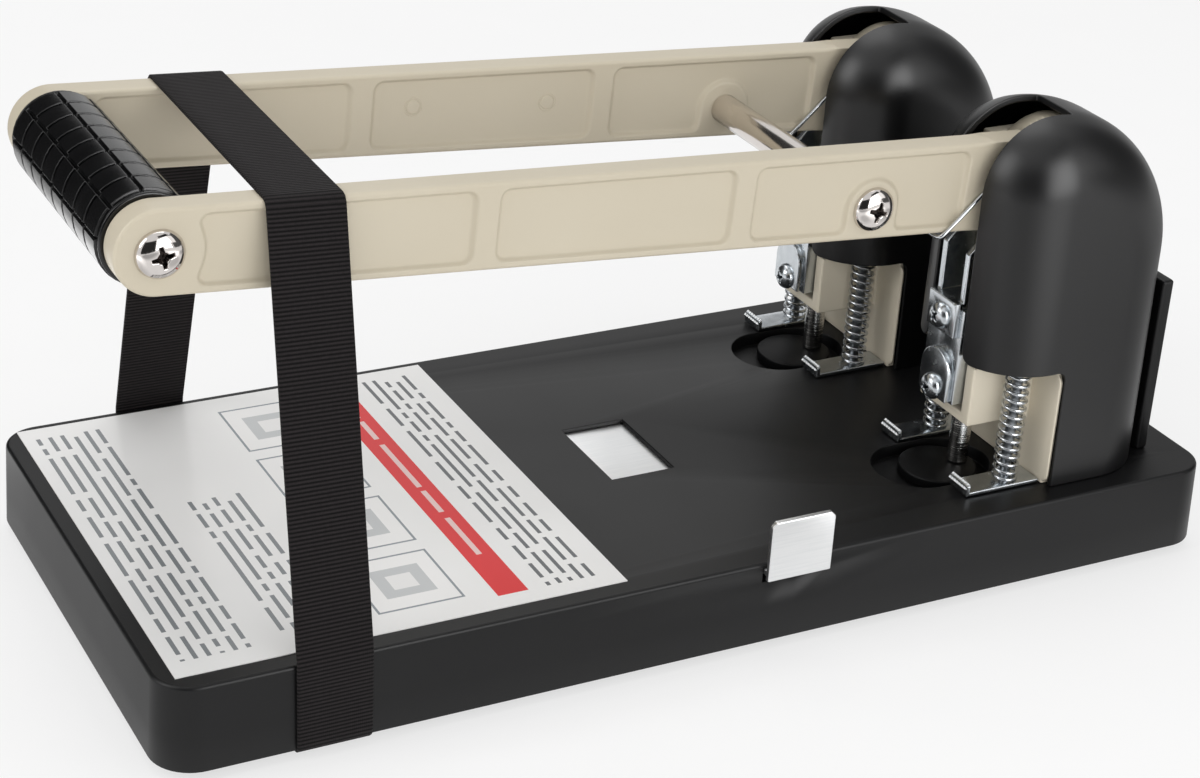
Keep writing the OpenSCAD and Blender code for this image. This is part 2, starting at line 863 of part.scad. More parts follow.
// Bracket on the slider whose ears straddle the arm
module clevis(side) {
  ear_view = [
    [-ear_front, slider_z1],
    [-ear_front, pin_z - 2 * ear_over],
    [-ear_neck, pin_z - 2 * ear_over + ear_step],
    [-ear_neck, pin_z + ear_over],
    [ear_back, pin_z + ear_over],
    [ear_back, slider_z1]
  ];
  color("#c3c7cb")
    at_tower(side)
      difference() {
        union() {
          translate([plate_x, -plate_half, flange_z0])
            cube([plate_t, 2 * plate_half, slider_z1 + plate_t - flange_z0]);
          translate([-slider_front - EPS, -ear_out, slider_z1])
            cube([slider_front + ear_back, 2 * ear_out, plate_t]);
          for (y = [-ear_out, ear_in])
            side_plate(y, y + ear_out - ear_in)
              polygon(ear_view);
        }
        side_plate(-cover_half, cover_half)
          translate([0, pin_z])
            stadium(-pin_play, pin_play, pin_r + SLIDE_GAP);
        rod_x(0, slider_screw_heights()[1], plate_screw_r + EPS, plate_x - CUT, plate_x + plate_t + CUT);
      }
}

// Round-topped plate that clamps the punch in the slider
module clamp_plate(side) {
  color("#c3c7cb")
    at_tower(side)
      difference() {
        union() {
          translate([plate_x, -plate_half, clamp_z0])
            cube([plate_t, 2 * plate_half, clamp_z1 - clamp_z0]);
          rod_x(0, clamp_z1, plate_half, plate_x, plate_x + plate_t);
        }
        rod_x(0, slider_screw_heights()[0], plate_screw_r + EPS, plate_x - CUT, plate_x + plate_t + CUT);
      }
}

// The two screws on the front of a slider
module slider_screws(side) {
  color("#d8dadd")
    at_tower(side)
      for (z = slider_screw_heights())
        translate([plate_x, 0, z])
          rotate([0, -90, 0])
            pan_screw(plate_screw_r, plate_t + plate_screw_deep, plate_head_r, plate_head_h);
}

// Bar through the slider that presses on the foot springs
module cross_bar(side) {
  color("#8d9094")
    at_tower(side)
      translate([bar_x, 0, bar_z0])
        difference() {
          linear_extrude(bar_t)
            rotate([0, 0, 90])
              stadium(-foot_y, foot_y, bar_half);
          for (s = [-1, 1])
            translate([0, s * foot_y, -CUT])
              cylinder(r = rod_r + RUN_GAP, h = bar_t + 2 * CUT);
        }
}

// Press foot with an upturned lip at its front
module press_foot(side, hand) {
  color("#c3c7cb")
    at_tower(side)
      translate([-foot_front, hand * foot_y - foot_wid / 2, SLIDE_GAP])
        difference() {
          union() {
            cube([foot_front + foot_back, foot_wid, foot_t]);
            cube([foot_t, foot_wid, foot_t + lip_h]);
          }
          translate([foot_front + bar_x, foot_wid / 2, -CUT])
            cylinder(r = rod_r + EPS, h = foot_t + 2 * CUT);
        }
}

// Rod of a press foot, with the head that its cross bar lifts
module foot_rod(side, hand) {
  head_z = bar_z0 + bar_t + foot_drop + foot_play;
  color("#b9bcc0")
    at_tower(side)
      translate([bar_x, hand * foot_y, 0]) {
        translate([0, 0, SLIDE_GAP])
          cylinder(r = rod_r, h = head_z + EPS - SLIDE_GAP);
        translate([0, 0, head_z])
          cylinder(r = rod_head_r, h = rod_head_h);
      }
}

// Path of a foot spring: a straight end, the curls, and a straight end
function spring_path(hand) =
  let (
    steps = spring_curls * 8 + 2,
    z0 = spring_wire,
    z1 = spring_len - spring_wire,
    turn = -hand * 45
  )
  concat(
    [[spring_r, 0, 0]],
    [[spring_r, 0, z0]],
    [
      for (i = [0.5:1:steps - 0.5])
        [spring_r * cos(turn * i), spring_r * sin(turn * i), z0 + 0.3 + (z1 - z0 - 0.6) * i / steps]
    ],
    [[spring_r * cos(turn * steps), spring_r * sin(turn * steps), z1]],
    [[spring_r * cos(turn * steps), spring_r * sin(turn * steps), spring_len]]
  );

// Coil spring between a press foot and the cross bar
module foot_spring(side, hand) {
  path = spring_path(hand);
  echo(str("foot spring, least gap to itself: ", least_apart(path, 5) - spring_wire));
  color("#d8dadd")
    at_tower(side)
      translate([bar_x, hand * foot_y, spring_foot_z])
        tube(path, spring_wire / 2, [0, 1, 0]);
}

// Half of a torsion spring's path, from its rear end to the hook under the arm
function torsion_half(hook_x, hook_z) =
  let (
    y0 = arm_t / 2 + 0.25 + torsion_wire / 2,
    y1 = channel_half - 0.35 - torsion_wire / 2,
    steps = torsion_turns * 8,
    top_z = pivot_up + torsion_r,
    bend_x = hook_x + (top_z - hook_z) / tan(hook_slope)
  )
  concat(
    [[pivot_back + torsion_r, y1, pivot_up - torsion_leg]],
    [[pivot_back + torsion_r, y1, pivot_up - torsion_leg_bend]],
    [
      for (i = [0:steps])
        [
          pivot_back + torsion_r * cos(45 * i),
          y1 + (y0 - y1) * i / steps,
          pivot_up + torsion_r * sin(45 * i)
        ]
    ],
    [[bend_x + bend_run, y0, top_z]],
    [[bend_x - 0.7 * bend_run, y0, top_z - 0.6 * bend_run]],
    [[hook_x + hook_curl, y0, hook_z + 0.9 * hook_curl]],
    [[hook_x, y0 - 0.3 * hook_curl, hook_z]],
    [[hook_x - 0.25 * hook_curl, y0 - 1.25 * hook_curl, hook_z]]
  );

// Double torsion spring on a pivot pin, hooked under the arm
module torsion_spring(side) {
  hook_x = -hook_ahead;
  hook_z = arm_edge_z(punch_x + hook_x, -1) - base_top_z - torsion_wire / 2 - hook_play;
  half = torsion_half(hook_x, hook_z);
  n = len(half);
  path = concat(half, [for (i = [n - 1:-1:0]) [half[i].x, -half[i].y, half[i].z]]);
  echo(str("torsion spring, least gap to itself: ", least_apart(half, 5) - torsion_wire));
  color("#d8dadd")
    at_tower(side)
      tube(path, torsion_wire / 2, [0, 1, 0]);
}

// Side view of an arm
module arm_view() {
  polygon([
    arm_pt(0, -arm_half(0)),
    arm_pt(0, arm_half(0)),
    arm_pt(arm_len, arm_front_r),
    arm_pt(arm_len, -arm_front_r)
  ]);
  translate([grip_x, grip_z])
    circle(arm_front_r, $fn = FINE);
  translate([pivot_x, pivot_z])
    circle(hub_r, $fn = FINE);
}

// Side view of the boss for the tie rod, which flares into the lower rim of the arm
module tie_boss_view() {
  low = pocket_rim - tie_rise;
  flare = tie_boss_r + pocket_blend;
  translate([tie_x, tie_z]) {
    circle(tie_boss_r, $fn = FINE);
    translate([-tie_boss_r, low - CUT])
      square([2 * tie_boss_r, CUT - low]);
    difference() {
      translate([-flare, low - CUT])
        square([2 * flare, pocket_blend + CUT]);
      for (s = [-1, 1])
        translate([s * flare, low + pocket_blend])
          circle(pocket_blend);
    }
  }
}

// Side view of the pockets of an arm, clear of the screw bosses
module pocket_view() {
  difference() {
    for (i = [0:len(pocket_from) - 1])
      polygon(pocket_outline(pocket_from[i], pocket_to[i]));
    translate([grip_x, grip_z])
      circle(grip_boss_r, $fn = FINE);
    tie_boss_view();
  }
}

// Side view of the raised hub over the pivot, clear of the torsion spring
module hub_view() {
  translate([pivot_x, pivot_z])
    difference() {
      circle(hub_r - hub_step, $fn = FINE);
      circle(hub_hollow_r, $fn = FINE);
      translate([-2 * hub_r, hub_low - 4 * hub_r])
        square(4 * hub_r);
    }
}

// Cast lever arm
module arm(side) {
  y0 = side * tower_y - arm_t / 2;
  y1 = y0 + arm_t;
  color("#cfc7b5")
    difference() {
      union() {
        side_plate(y0, y1)
          arm_view();
        side_plate(side * tower_y - hub_half, side * tower_y + hub_half)
          hub_view();
      }
      side_plate(y0 - CUT, y0 + pocket_depth)
        pocket_view();
      side_plate(y1 - pocket_depth, y1 + CUT)
        pocket_view();
      rod_y(pivot_x, pivot_z, pivot_r + RUN_GAP + bush_wall + EPS, y0 - CUT, y1 + CUT);
      rod_y(punch_x, base_top_z + pin_z, pin_r + EPS, y0 - CUT, y1 + CUT);
      rod_y(grip_x, grip_z, grip_screw_r + EPS, y0 - CUT, y1 + CUT);
      rod_y(tie_x, tie_z, tie_screw_r + EPS, y0 - CUT, y1 + CUT);
    }
}

// Plain bearings pressed into the arms
module pivot_bushes() {
  color("#b08d4c")
    for (side = [NEAR, FAR])
      let (y0 = side * tower_y - arm_t / 2)
        difference() {
          rod_y(pivot_x, pivot_z, pivot_r + RUN_GAP + bush_wall, y0, y0 + arm_t);
          rod_y(pivot_x, pivot_z, pivot_r + RUN_GAP, y0 - CUT, y0 + arm_t + CUT);
        }
}

// Pin that moves the clevis bracket with the arm
module drive_pin(side) {
  color("#b9bcc0")
    rod_y(punch_x, base_top_z + pin_z, pin_r, side * tower_y - pin_half, side * tower_y + pin_half);
}

// Steel tube inside the grip, threaded at both ends
module grip_tube() {
  color("#8d9094")
    difference() {
      rod_y(grip_x, grip_z, grip_tube_r, -arm_in, arm_in);
      for (y = [-arm_in - CUT, arm_in - thread_len])
        rod_y(grip_x, grip_z, grip_screw_r + EPS, y, y + thread_len + CUT);
    }
}

// Rubber sleeve of the grip, with ring grooves
module grip_sleeve() {
  r = grip_d / 2;
  end = arm_in - SEAT_GAP;
  pitch = 2 * end / (grip_rings + 1);
  color("#1f1f20")
    difference() {
      rod_y(grip_x, grip_z, r, -end, end);
      rod_y(grip_x, grip_z, grip_tube_r + EPS, -end - CUT, end + CUT);
      for (i = [1:grip_rings])
        let (y = -end + i * pitch)
          difference() {
            rod_y(grip_x, grip_z, r + CUT, y - ring_groove / 2, y + ring_groove / 2);
            rod_y(grip_x, grip_z, r - ring_groove, y - CUT, y + CUT);
          }
    }
}

// Screws through the front ends of the arms
module grip_screws() {
  color("#e3e1e0")
    for (side = [NEAR, FAR])
      translate([grip_x, side * arm_out, grip_z])
        rotate([-90 * side, 0, 0])
          pan_screw(grip_screw_r, arm_t + thread_len - 2, head_r, head_h);
}

// Bright rod that ties the arms together
module tie_rod() {
  color("#d9d4cf")
    difference() {
      rod_y(tie_x, tie_z, tie_d / 2, -arm_in, arm_in);
      for (y = [-arm_in - CUT, arm_in - thread_len])
        rod_y(tie_x, tie_z, tie_screw_r + EPS, y, y + thread_len + CUT);
    }
}

// Screws through the arms into the tie rod
module tie_rod_screws() {
  color("#e3e1e0")
    for (side = [NEAR, FAR])
      translate([tie_x, side * arm_out, tie_z])
        rotate([-90 * side, 0, 0])
          pan_screw(tie_screw_r, arm_t + thread_len - 2, head_r, head_h);
}

// Elastic strap round the arms and the base, t out from what it holds
module strap_view(t) {
  top = arm_edge_z(strap_x - strap_wid / 2, 1) + strap_gap + t;
  half_top = arm_out + strap_gap + t;
  half_base = base_half + t;
  polygon([
    [-half_top, top],
    [half_top, top],
    [half_base, base_top_z],
    [half_base, foot_h - t],
    [-half_base, foot_h - t],
    [-half_base, base_top_z]
  ]);
}

module strap() {
  color("#2a2829")
    translate([strap_x - strap_wid / 2, 0, 0])
      rotate([90, 0, 90])
        linear_extrude(strap_wid)
          difference() {
            strap_view(strap_t);
            strap_view(0);
          }
}

base_shell();
bottom_plate();
rubber_feet();
bottom_screws();
instruction_label();
paper_guide();
guide_keeper();
cutting_disc(NEAR);  // near_cutting_disc
cutting_disc(FAR);  // far_cutting_disc
punch_frame(NEAR);  // near_punch_frame
punch_frame(FAR);  // far_punch_frame
tower_cover(NEAR);  // near_cover
tower_cover(FAR);  // far_cover
pivot_pin(NEAR);  // near_pivot_pin
pivot_pin(FAR);  // far_pivot_pin
frame_bolts();
rear_plate();
rear_plate_screws();
slider(NEAR);  // near_slider
punch(NEAR);  // near_punch
clevis(NEAR);  // near_clevis
clamp_plate(NEAR);  // near_clamp_plate
slider_screws(NEAR);  // near_slider_screws
cross_bar(NEAR);  // near_cross_bar
slider(FAR);  // far_slider
punch(FAR);  // far_punch
clevis(FAR);  // far_clevis
clamp_plate(FAR);  // far_clamp_plate
slider_screws(FAR);  // far_slider_screws
cross_bar(FAR);  // far_cross_bar
press_foot(NEAR, -1);  // near_outer_foot
press_foot(NEAR, 1);  // near_inner_foot
press_foot(FAR, -1);  // far_inner_foot
press_foot(FAR, 1);  // far_outer_foot
foot_rod(NEAR, -1);  // near_outer_foot_rod
foot_rod(NEAR, 1);  // near_inner_foot_rod
foot_rod(FAR, -1);  // far_inner_foot_rod
foot_rod(FAR, 1);  // far_outer_foot_rod
foot_spring(NEAR, -1);  // near_outer_foot_spring
foot_spring(NEAR, 1);  // near_inner_foot_spring
foot_spring(FAR, -1);  // far_inner_foot_spring
foot_spring(FAR, 1);  // far_outer_foot_spring
torsion_spring(NEAR);  // near_torsion_spring
torsion_spring(FAR);  // far_torsion_spring
arm(NEAR);  // near_arm
arm(FAR);  // far_arm
pivot_bushes();
drive_pin(NEAR);  // near_drive_pin
drive_pin(FAR);  // far_drive_pin
grip_tube();
grip_sleeve();
grip_screws();
tie_rod();
tie_rod_screws();
strap();
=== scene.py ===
# %% [markdown]
# # A heavy duty two-hole punch
# The real thing stands on a desk: a black moulded base, two domed black towers that hide the punches,
# and a pale cast lever with a rubber grip, held down by an elastic strap. The measured solids come from
# the CAD model and never move. This lesson dresses them: pieces whose form shows from a step away are
# made again as smooth surfaces, and every piece gets a finish.

# %% Load the measured solids
import json
import math

import bmesh
import bpy
import numpy as np
from mathutils import Matrix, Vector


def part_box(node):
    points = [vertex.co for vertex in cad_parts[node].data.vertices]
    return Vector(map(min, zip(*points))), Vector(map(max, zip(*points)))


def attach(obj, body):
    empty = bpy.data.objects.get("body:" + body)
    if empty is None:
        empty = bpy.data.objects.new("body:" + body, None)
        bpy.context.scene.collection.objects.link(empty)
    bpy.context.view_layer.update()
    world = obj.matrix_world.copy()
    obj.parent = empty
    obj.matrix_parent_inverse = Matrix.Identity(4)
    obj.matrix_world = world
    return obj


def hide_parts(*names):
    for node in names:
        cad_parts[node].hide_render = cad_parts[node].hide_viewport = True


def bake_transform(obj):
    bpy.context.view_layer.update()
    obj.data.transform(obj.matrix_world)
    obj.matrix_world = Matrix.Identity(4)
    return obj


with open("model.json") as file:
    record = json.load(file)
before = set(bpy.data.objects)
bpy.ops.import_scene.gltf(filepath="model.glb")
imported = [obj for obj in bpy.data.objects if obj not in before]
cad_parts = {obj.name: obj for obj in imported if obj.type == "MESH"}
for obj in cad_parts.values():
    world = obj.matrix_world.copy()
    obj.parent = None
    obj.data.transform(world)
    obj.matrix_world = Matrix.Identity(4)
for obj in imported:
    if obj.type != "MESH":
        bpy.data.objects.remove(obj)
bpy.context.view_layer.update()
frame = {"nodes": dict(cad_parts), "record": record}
bodies = frame["record"]["behaviour"]["bodies"]
body_of = {node: body for body, nodes in bodies.items() for node in nodes}

# %% [markdown]
# ## Sizes that several pieces share
# Lengths are written in millimetres, as they were measured, and turned to metres once, when a mesh is
# made. The towers are alike, so their pieces are worked out at the punch's axis on top of the base and
# then moved to each tower. Two press feet stand in each tower, on the -1 or 1 side of the punch.

# %% Shared sizes
MM = 0.001
BASE_TOP = 26.5
PUNCH_X = 90.7
TOWER_Y = {"near": -40.0, "far": 40.0}
FEET = {"near_outer": -1, "near_inner": 1, "far_inner": -1, "far_outer": 1}
PIVOT = np.array([110.0, 110.9])
GRIP = np.array([-147.4, 127.3])
ARM_OUT, ARM_IN = 44.0, 36.0


def at_tower(points, side):
    """Moves points from the punch's axis on the base's top to a tower."""
    return points + np.array([PUNCH_X, TOWER_Y[side], BASE_TOP])


def node_box(node):
    """Lowest and highest corner of a solid, in millimetres."""
    return np.array(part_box(node)) / MM


# %% [markdown]
# ## From arrays to pieces
# A surface is a grid of points, so its quads follow from the grid's numbers of rows and columns. One
# function makes a mesh of the points and turns its faces outwards. Another hands a piece to the body that
# carries it and lets it stand for a solid.

# %% Grid and mesh helpers
def grid(x, y, z, wrap_rows=False, wrap_cols=False):
    """Points of a grid, from coordinates that stretch to one shape, and the corner numbers of its quads."""
    points = np.stack(np.broadcast_arrays(x, y, z), -1)
    rows, cols = points.shape[:2]
    i, j = np.ogrid[:rows - (not wrap_rows), :cols - (not wrap_cols)]
    i2, j2 = (i + 1) % rows, (j + 1) % cols
    quads = np.stack([i * cols + j, i * cols + j2, i2 * cols + j2, i2 * cols + j], -1)
    return points.reshape(-1, 3), quads.reshape(-1, 4)


def joined(parts):
    """Several (points, faces) pairs as one, with the later corner numbers moved up."""
    points, faces, count = [], [], 0
    for p, f in parts:
        points.append(np.asarray(p))
        faces += [[int(c) + count for c in corner] for corner in f]
        count += len(p)
    return np.concatenate(points), faces


def new_object(name, data):
    """An object at the origin that holds a mesh, a lamp or a camera."""
    obj = bpy.data.objects.new(name, data)
    bpy.context.collection.objects.link(obj)
    return obj


def smooth_object(mesh):
    """An object with the mesh's name, whose faces are all shaded smooth."""
    mesh.polygons.foreach_set("use_smooth", np.ones(len(mesh.polygons), bool))
    return new_object(mesh.name, mesh)


def make_piece(name, points, faces, closed=True):
    """A smooth mesh object from points in millimetres and lists of corner numbers."""
    mesh = bpy.data.meshes.new(name)
    mesh.from_pydata((np.asarray(points) * MM).tolist(), [], [list(map(int, f)) for f in faces])
    if closed:
        bm = bmesh.new()
        bm.from_mesh(mesh)
        bmesh.ops.remove_doubles(bm, verts=bm.verts, dist=1e-7)
        bmesh.ops.recalc_face_normals(bm, faces=bm.faces)
        bm.to_mesh(mesh)
        bm.free()
    return smooth_object(mesh)


def settle(obj, finish, node, rides=True, replaces=True):
    """Gives a piece its finish. The node's body carries it, and it stands for the node, which is hidden,
    unless `rides` or `replaces` says otherwise."""
    obj.data.materials.clear()
    obj.data.materials.append(finish)
    if rides:
        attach(obj, body_of[node])
    if replaces:
        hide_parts(node)


# %% [markdown]
# ## Softened castings and mouldings
# No real edge is perfectly sharp, and the thin bright line along an edge is what tells the eye that a
# casting is solid. The solids are loose triangles, so a copy is merged, its flat faces are joined, and a
# Bevel rounds each edge that turns by more than 30 degrees. A rule may leave some edges sharp.

# %% Softening a copy of a solid
FLAT, SHARP = math.radians(0.4), math.radians(30)


def merged_copy(node):
    """A copy of a solid, in a BMesh, with its loose triangles joined at their corners."""
    bm = bmesh.new()
    bm.from_mesh(frame["nodes"][node].data)
    bmesh.ops.remove_doubles(bm, verts=bm.verts, dist=2e-6)
    return bm


def round_edges(obj, width, segments=3, turn=0.0):
    """A Bevel of `width` millimetres on edges that turn by more than `turn` degrees or, at 0, by weight."""
    bevel = obj.modifiers.new("Rounded edges", "BEVEL")
    bevel.width = width * MM
    bevel.segments = segments
    bevel.limit_method = "ANGLE" if turn else "WEIGHT"
    bevel.angle_limit = math.radians(turn)
    bevel.loop_slide = turn > 0
    bevel.use_clamp_overlap = False
    bevel.harden_normals = True


def soften(node, width, rule=None, reshape=None):
    """A copy of a solid with rounded edges: `rule` gives each edge middle a share of the width."""
    bm = merged_copy(node)
    bmesh.ops.dissolve_limit(bm, angle_limit=FLAT, verts=bm.verts, edges=bm.edges)
    weights = bm.edges.layers.float.new("bevel_weight_edge")
    sharp = [e for e in bm.edges if len(e.link_faces) == 2 and e.calc_face_angle() > SHARP]
    middles = np.array([(e.verts[0].co + e.verts[1].co) / 2 for e in sharp]) / MM
    shares = np.ones(len(sharp)) if rule is None else rule(middles)
    for edge, share in zip(sharp, shares):
        edge[weights] = float(share)
        edge.smooth = share > 0
    mesh = bpy.data.meshes.new(node + "_soft")
    bm.to_mesh(mesh)
    bm.free()
    if reshape is not None:
        points = np.empty(3 * len(mesh.vertices))
        mesh.vertices.foreach_get("co", points)
        mesh.vertices.foreach_set("co", (reshape(points.reshape(-1, 3) / MM) * MM).ravel())
    obj = smooth_object(mesh)
    round_edges(obj, width)
    return obj


# %% [markdown]
# ## Finishes
# A finish starts from what the real material is and how its surface was made. One small function adds
# a node with its settings and links, and every pattern's scale comes from a real size in millimetres.
# Patterns read Object coordinates, because each piece sits at the origin with its place in its mesh.

# %% Node helpers and colours
def linear(code):
    """An sRGB hex colour as linear red, green, blue and alpha."""
    s = np.array([int(code[i:i + 2], 16) / 255 for i in (1, 3, 5)])
    return (*np.where(s <= 0.04045, s / 12.92, ((s + 0.055) / 1.055) ** 2.4), 1.0)


def feed(tree, node, inputs):
    """Sets a node's inputs, by name or number, each from a value, a socket or a node."""
    for name, value in inputs.items():
        if isinstance(value, bpy.types.Node):
            value = value.outputs[0]
        if isinstance(value, bpy.types.NodeSocket):
            tree.links.new(value, node.inputs[name])
        else:
            node.inputs[name].default_value = value
    return node


def add(tree, kind, inputs=None, **settings):
    """Adds a node with settings by name, and feeds its inputs."""
    node = tree.nodes.new("ShaderNode" + kind)
    for name, value in settings.items():
        setattr(node, name, value)
    return feed(tree, node, inputs or {})


def calc(tree, operation, *values):
    """A sum, product, test or other Math node on one or two values."""
    return add(tree, "Math", dict(enumerate(values)), operation=operation)


def per_mm(size):
    """Scale of a pattern whose features are `size` millimetres across, for coordinates in metres."""
    return 1.0 / (size * MM)


def noise(tree, place, size, detail):
    """Soft noise with features `size` millimetres across."""
    return add(tree, "TexNoise", {"Vector": place, "Scale": per_mm(size), "Detail": detail})


def mix(tree, share, first, second):
    """From the first colour to the second, as the share goes from 0 to 1."""
    return add(tree, "MixRGB", {"Fac": share, "Color1": first, "Color2": second})


def ramp(tree, value, low, high, start=0.0, end=1.0):
    """From low to high, as the value goes from start to end."""
    span = {"From Min": start, "From Max": end, "To Min": low, "To Max": high}
    return add(tree, "MapRange", {"Value": value, **span})


def bumped(tree, height, strength, depth):
    """A normal that follows a height between 0 and `depth` millimetres."""
    return add(tree, "Bump", {"Height": height, "Strength": strength, "Distance": depth * MM})


def new_finish(name, shader):
    """A material, its tree, and its Principled shader with sockets set by name."""
    finish = bpy.data.materials.new(name)
    finish.use_nodes = True
    tree = finish.node_tree
    return finish, tree, feed(tree, tree.nodes["Principled BSDF"], shader)


# %% [markdown]
# ### Moulded black ABS
# The base and the tower covers are injection moulded ABS with a fine spark-eroded grain. The grain
# breaks up the highlight, so the surface looks satin, and wide patches differ a little in gloss. The
# real grain of about 0.2 mm is drawn at 0.5 mm, which is as fine as the render can show.

# %% Moulded black
def grained(name, colours, patch, fine, gloss, bump, shader, fine_gloss=False):
    """Tone follows noise in wide patches and bump follows fine noise, each with a size and a detail. Gloss
    follows the patches or, with `fine_gloss`, the fine noise. `bump` is a strength and a depth."""
    finish, tree, body = new_finish(name, shader)
    place = add(tree, "TexCoord").outputs["Object"]
    wide, close = noise(tree, place, *patch), noise(tree, place, *fine)
    feed(tree, body, {
        "Base Color": mix(tree, wide, *map(linear, colours)),
        "Roughness": ramp(tree, close if fine_gloss else wide, *gloss),
        "Normal": bumped(tree, close, *bump),
    })
    return finish


def moulded_black(name, dark, light, rough, shine=0.5, grain=0.5):
    """Satin moulded plastic: patches of 40 mm in colour and gloss, and a fine grain."""
    shader = {"IOR": 1.53, "Specular IOR Level": shine}
    gloss = (rough - 0.04, rough + 0.05)
    return grained(name, (dark, light), (40, 3.0), (grain, 2.0), gloss, (0.35, 0.02), shader)


base_black = moulded_black("Moulded ABS, base", "#09090a", "#101011", 0.42, shine=0.3)
cover_black = moulded_black("Moulded ABS, covers", "#0a0a0b", "#111112", 0.36)
disc_black = moulded_black("Moulded nylon, cutting disc", "#060607", "#0b0b0c", 0.45, shine=0.15)
plate_black = moulded_black("Black coated sheet steel", "#121213", "#1b1b1c", 0.50, shine=0.3, grain=0.9)

# %% [markdown]
# ### Powder coat, zinc, nickel and drawn wire
# The castings carry a pale beige powder coat with a faint orange peel. Small pressings are bright zinc,
# which varies in gloss from place to place. Screws and the tie rod are nickel plated. Spring wire is
# drawn and smooth. A screw's deep recess holds shadow, so its tone there is darker: painted shade.

# %% Coats and metals
def powder_coat(name, dark, light):
    """Powder coat: shallow orange peel about a millimetre across, with a little variation in tone."""
    shader = {"IOR": 1.5}
    return grained(name, (dark, light), (60, 2.0), (0.9, 2.0), (0.36, 0.50), (0.22, 0.02), shader, True)


def plated_metal(name, dark, light, smooth, rough, size, stretch=(1, 1, 1), marks=0.002, recess=None):
    """Bare or plated metal: tone and gloss follow noise of the given size, drawn out by stretch. Where a
    piece's own attribute `recess` is 1, the tone is that of `recess`, painted shade for a screw's recess."""
    finish, tree, body = new_finish(name, {"Metallic": 1.0})
    place = add(tree, "TexCoord").outputs["Object"]
    streak = noise(tree, add(tree, "Mapping", {"Vector": place, "Scale": stretch}), size, 4.0)
    tone = mix(tree, streak, linear(dark), linear(light))
    if recess:
        deep = add(tree, "Attribute", attribute_name="recess").outputs["Fac"]
        tone = mix(tree, deep, tone, linear(recess))
    gloss = ramp(tree, streak, smooth, rough)
    feed(tree, body, {"Base Color": tone, "Roughness": gloss, "Normal": bumped(tree, streak, 1.0, marks)})
    return finish


ZINC = ("#b9bfc4", "#dfe3e6", 0.14, 0.34, 3.0)
NICKEL = ("#c9c3bf", "#e6e1de", 0.05, 0.14, 6.0)
beige_coat = powder_coat("Beige powder coat", "#c6bca7", "#d0c7b3")
# The frames have the arms' beige coat drawn lighter: painted light on frames that the covers shade.
frame_coat_painted_light = powder_coat("Beige powder coat, frames, painted light", "#dbd2be", "#e3dac7")
zinc = plated_metal("Bright zinc plate", *ZINC)
nickel = plated_metal("Nickel plate", *NICKEL)
wire = plated_metal("Drawn spring wire", "#b4b8bc", "#e2e5e8", 0.12, 0.26, 1.5)
steel = plated_metal("Plain steel", "#86898d", "#a9adb1", 0.25, 0.45, 2.0)
brushed = plated_metal("Brushed sheet metal", "#e6e8e9", "#fafafa", 0.24, 0.46, 0.5, (0.04, 1, 1))
# The dark recess tones of these screws are painted shade.
screw_nickel = plated_metal("Nickel plate, screws", *NICKEL, recess="#2b2624")
screw_zinc = plated_metal("Bright zinc plate, screws", *ZINC, recess="#2a2d30")
sheared = plated_metal("Sheared sheet edge", "#e9ecee", "#f8f9fa", 0.45, 0.6, 0.8)
rod_nickel = plated_metal("Nickel plate, rod", "#d6d0ca", "#e4deda", 0.14, 0.2, 9.0)
ground_steel = plated_metal("Ground tool steel", "#e6e4e0", "#f6f4f1", 0.1, 0.2, 0.3, (0.02, 0.02, 1), 0.12)
bronze = plated_metal("Sintered bronze", "#8a6a35", "#b08d4c", 0.35, 0.55, 0.8)

# %% [markdown]
# ### Rubber
# The grip and the feet are black moulded rubber. The grip is smooth and shines, and the feet are matt.

# %% Rubber
def moulded_rubber(name, dark, light, rough):
    """Rubber: fine bump about 0.7 mm across and patchy gloss."""
    gloss = (rough - 0.08, rough + 0.08)
    return grained(name, (dark, light), (12, 2.0), (0.7, 3.0), gloss, (0.2, 0.03), {"IOR": 1.52})


grip_rubber = moulded_rubber("Moulded rubber, grip", "#070708", "#0d0d0e", 0.24)
foot_rubber = moulded_rubber("Moulded rubber, feet", "#171717", "#202020", 0.7)

# %% [markdown]
# ### Ribbed webbing
# The strap is woven elastic: weft threads lie over rubber cores and make cross ribs about 1 mm apart.
# The strap's own map runs across it and along it in metres, so the ribs follow it round every corner.

# %% Ribbed webbing
def ribbed_webbing(name, valley, ridge):
    """Woven elastic: a sine of the length gives the ribs, a finer one across gives the threads."""
    shader = {"Roughness": 0.8, "IOR": 1.5, "Specular IOR Level": 0.2, "Sheen Weight": 0.02}
    finish, tree, body = new_finish(name, shader)
    place = add(tree, "UVMap", uv_map="UVMap").outputs["UV"]
    parts = add(tree, "SeparateXYZ", {"Vector": place}).outputs

    def wave(along, size, high):
        """Rises from 0 to `high` and falls again in every `size` millimetres."""
        turn = calc(tree, "MULTIPLY", along, 2 * math.pi * per_mm(size))
        return ramp(tree, calc(tree, "SINE", turn), 0.0, high, -1.0, 1.0)

    rib, thread = wave(parts["Y"], 1.05, 1.0), wave(parts["X"], 0.55, 0.12)
    fuzz = noise(tree, place, 0.8, 3.0)
    # Dark in the valleys and light on the ridges: painted shade between the ribs.
    tone = mix(tree, rib, linear(valley), linear(ridge))
    tone = add(tree, "MixRGB", {"Fac": 0.35, "Color1": tone, "Color2": fuzz}, blend_type="OVERLAY")
    feed(tree, body, {"Base Color": tone, "Normal": bumped(tree, calc(tree, "ADD", rib, thread), 0.7, 0.18)})
    return finish


webbing = ribbed_webbing("Ribbed elastic webbing", "#050505", "#292526")

# %% [markdown]
# ### The printed sheet
# A silver-white plastic film covers the front of the base. The real print is left out: a generic one
# takes its place, made of bars, frames and a red band. Each shape is a box in x and y, so a mask is the
# product of two range tests, and rows of bars come from the fraction of x over their pitch.

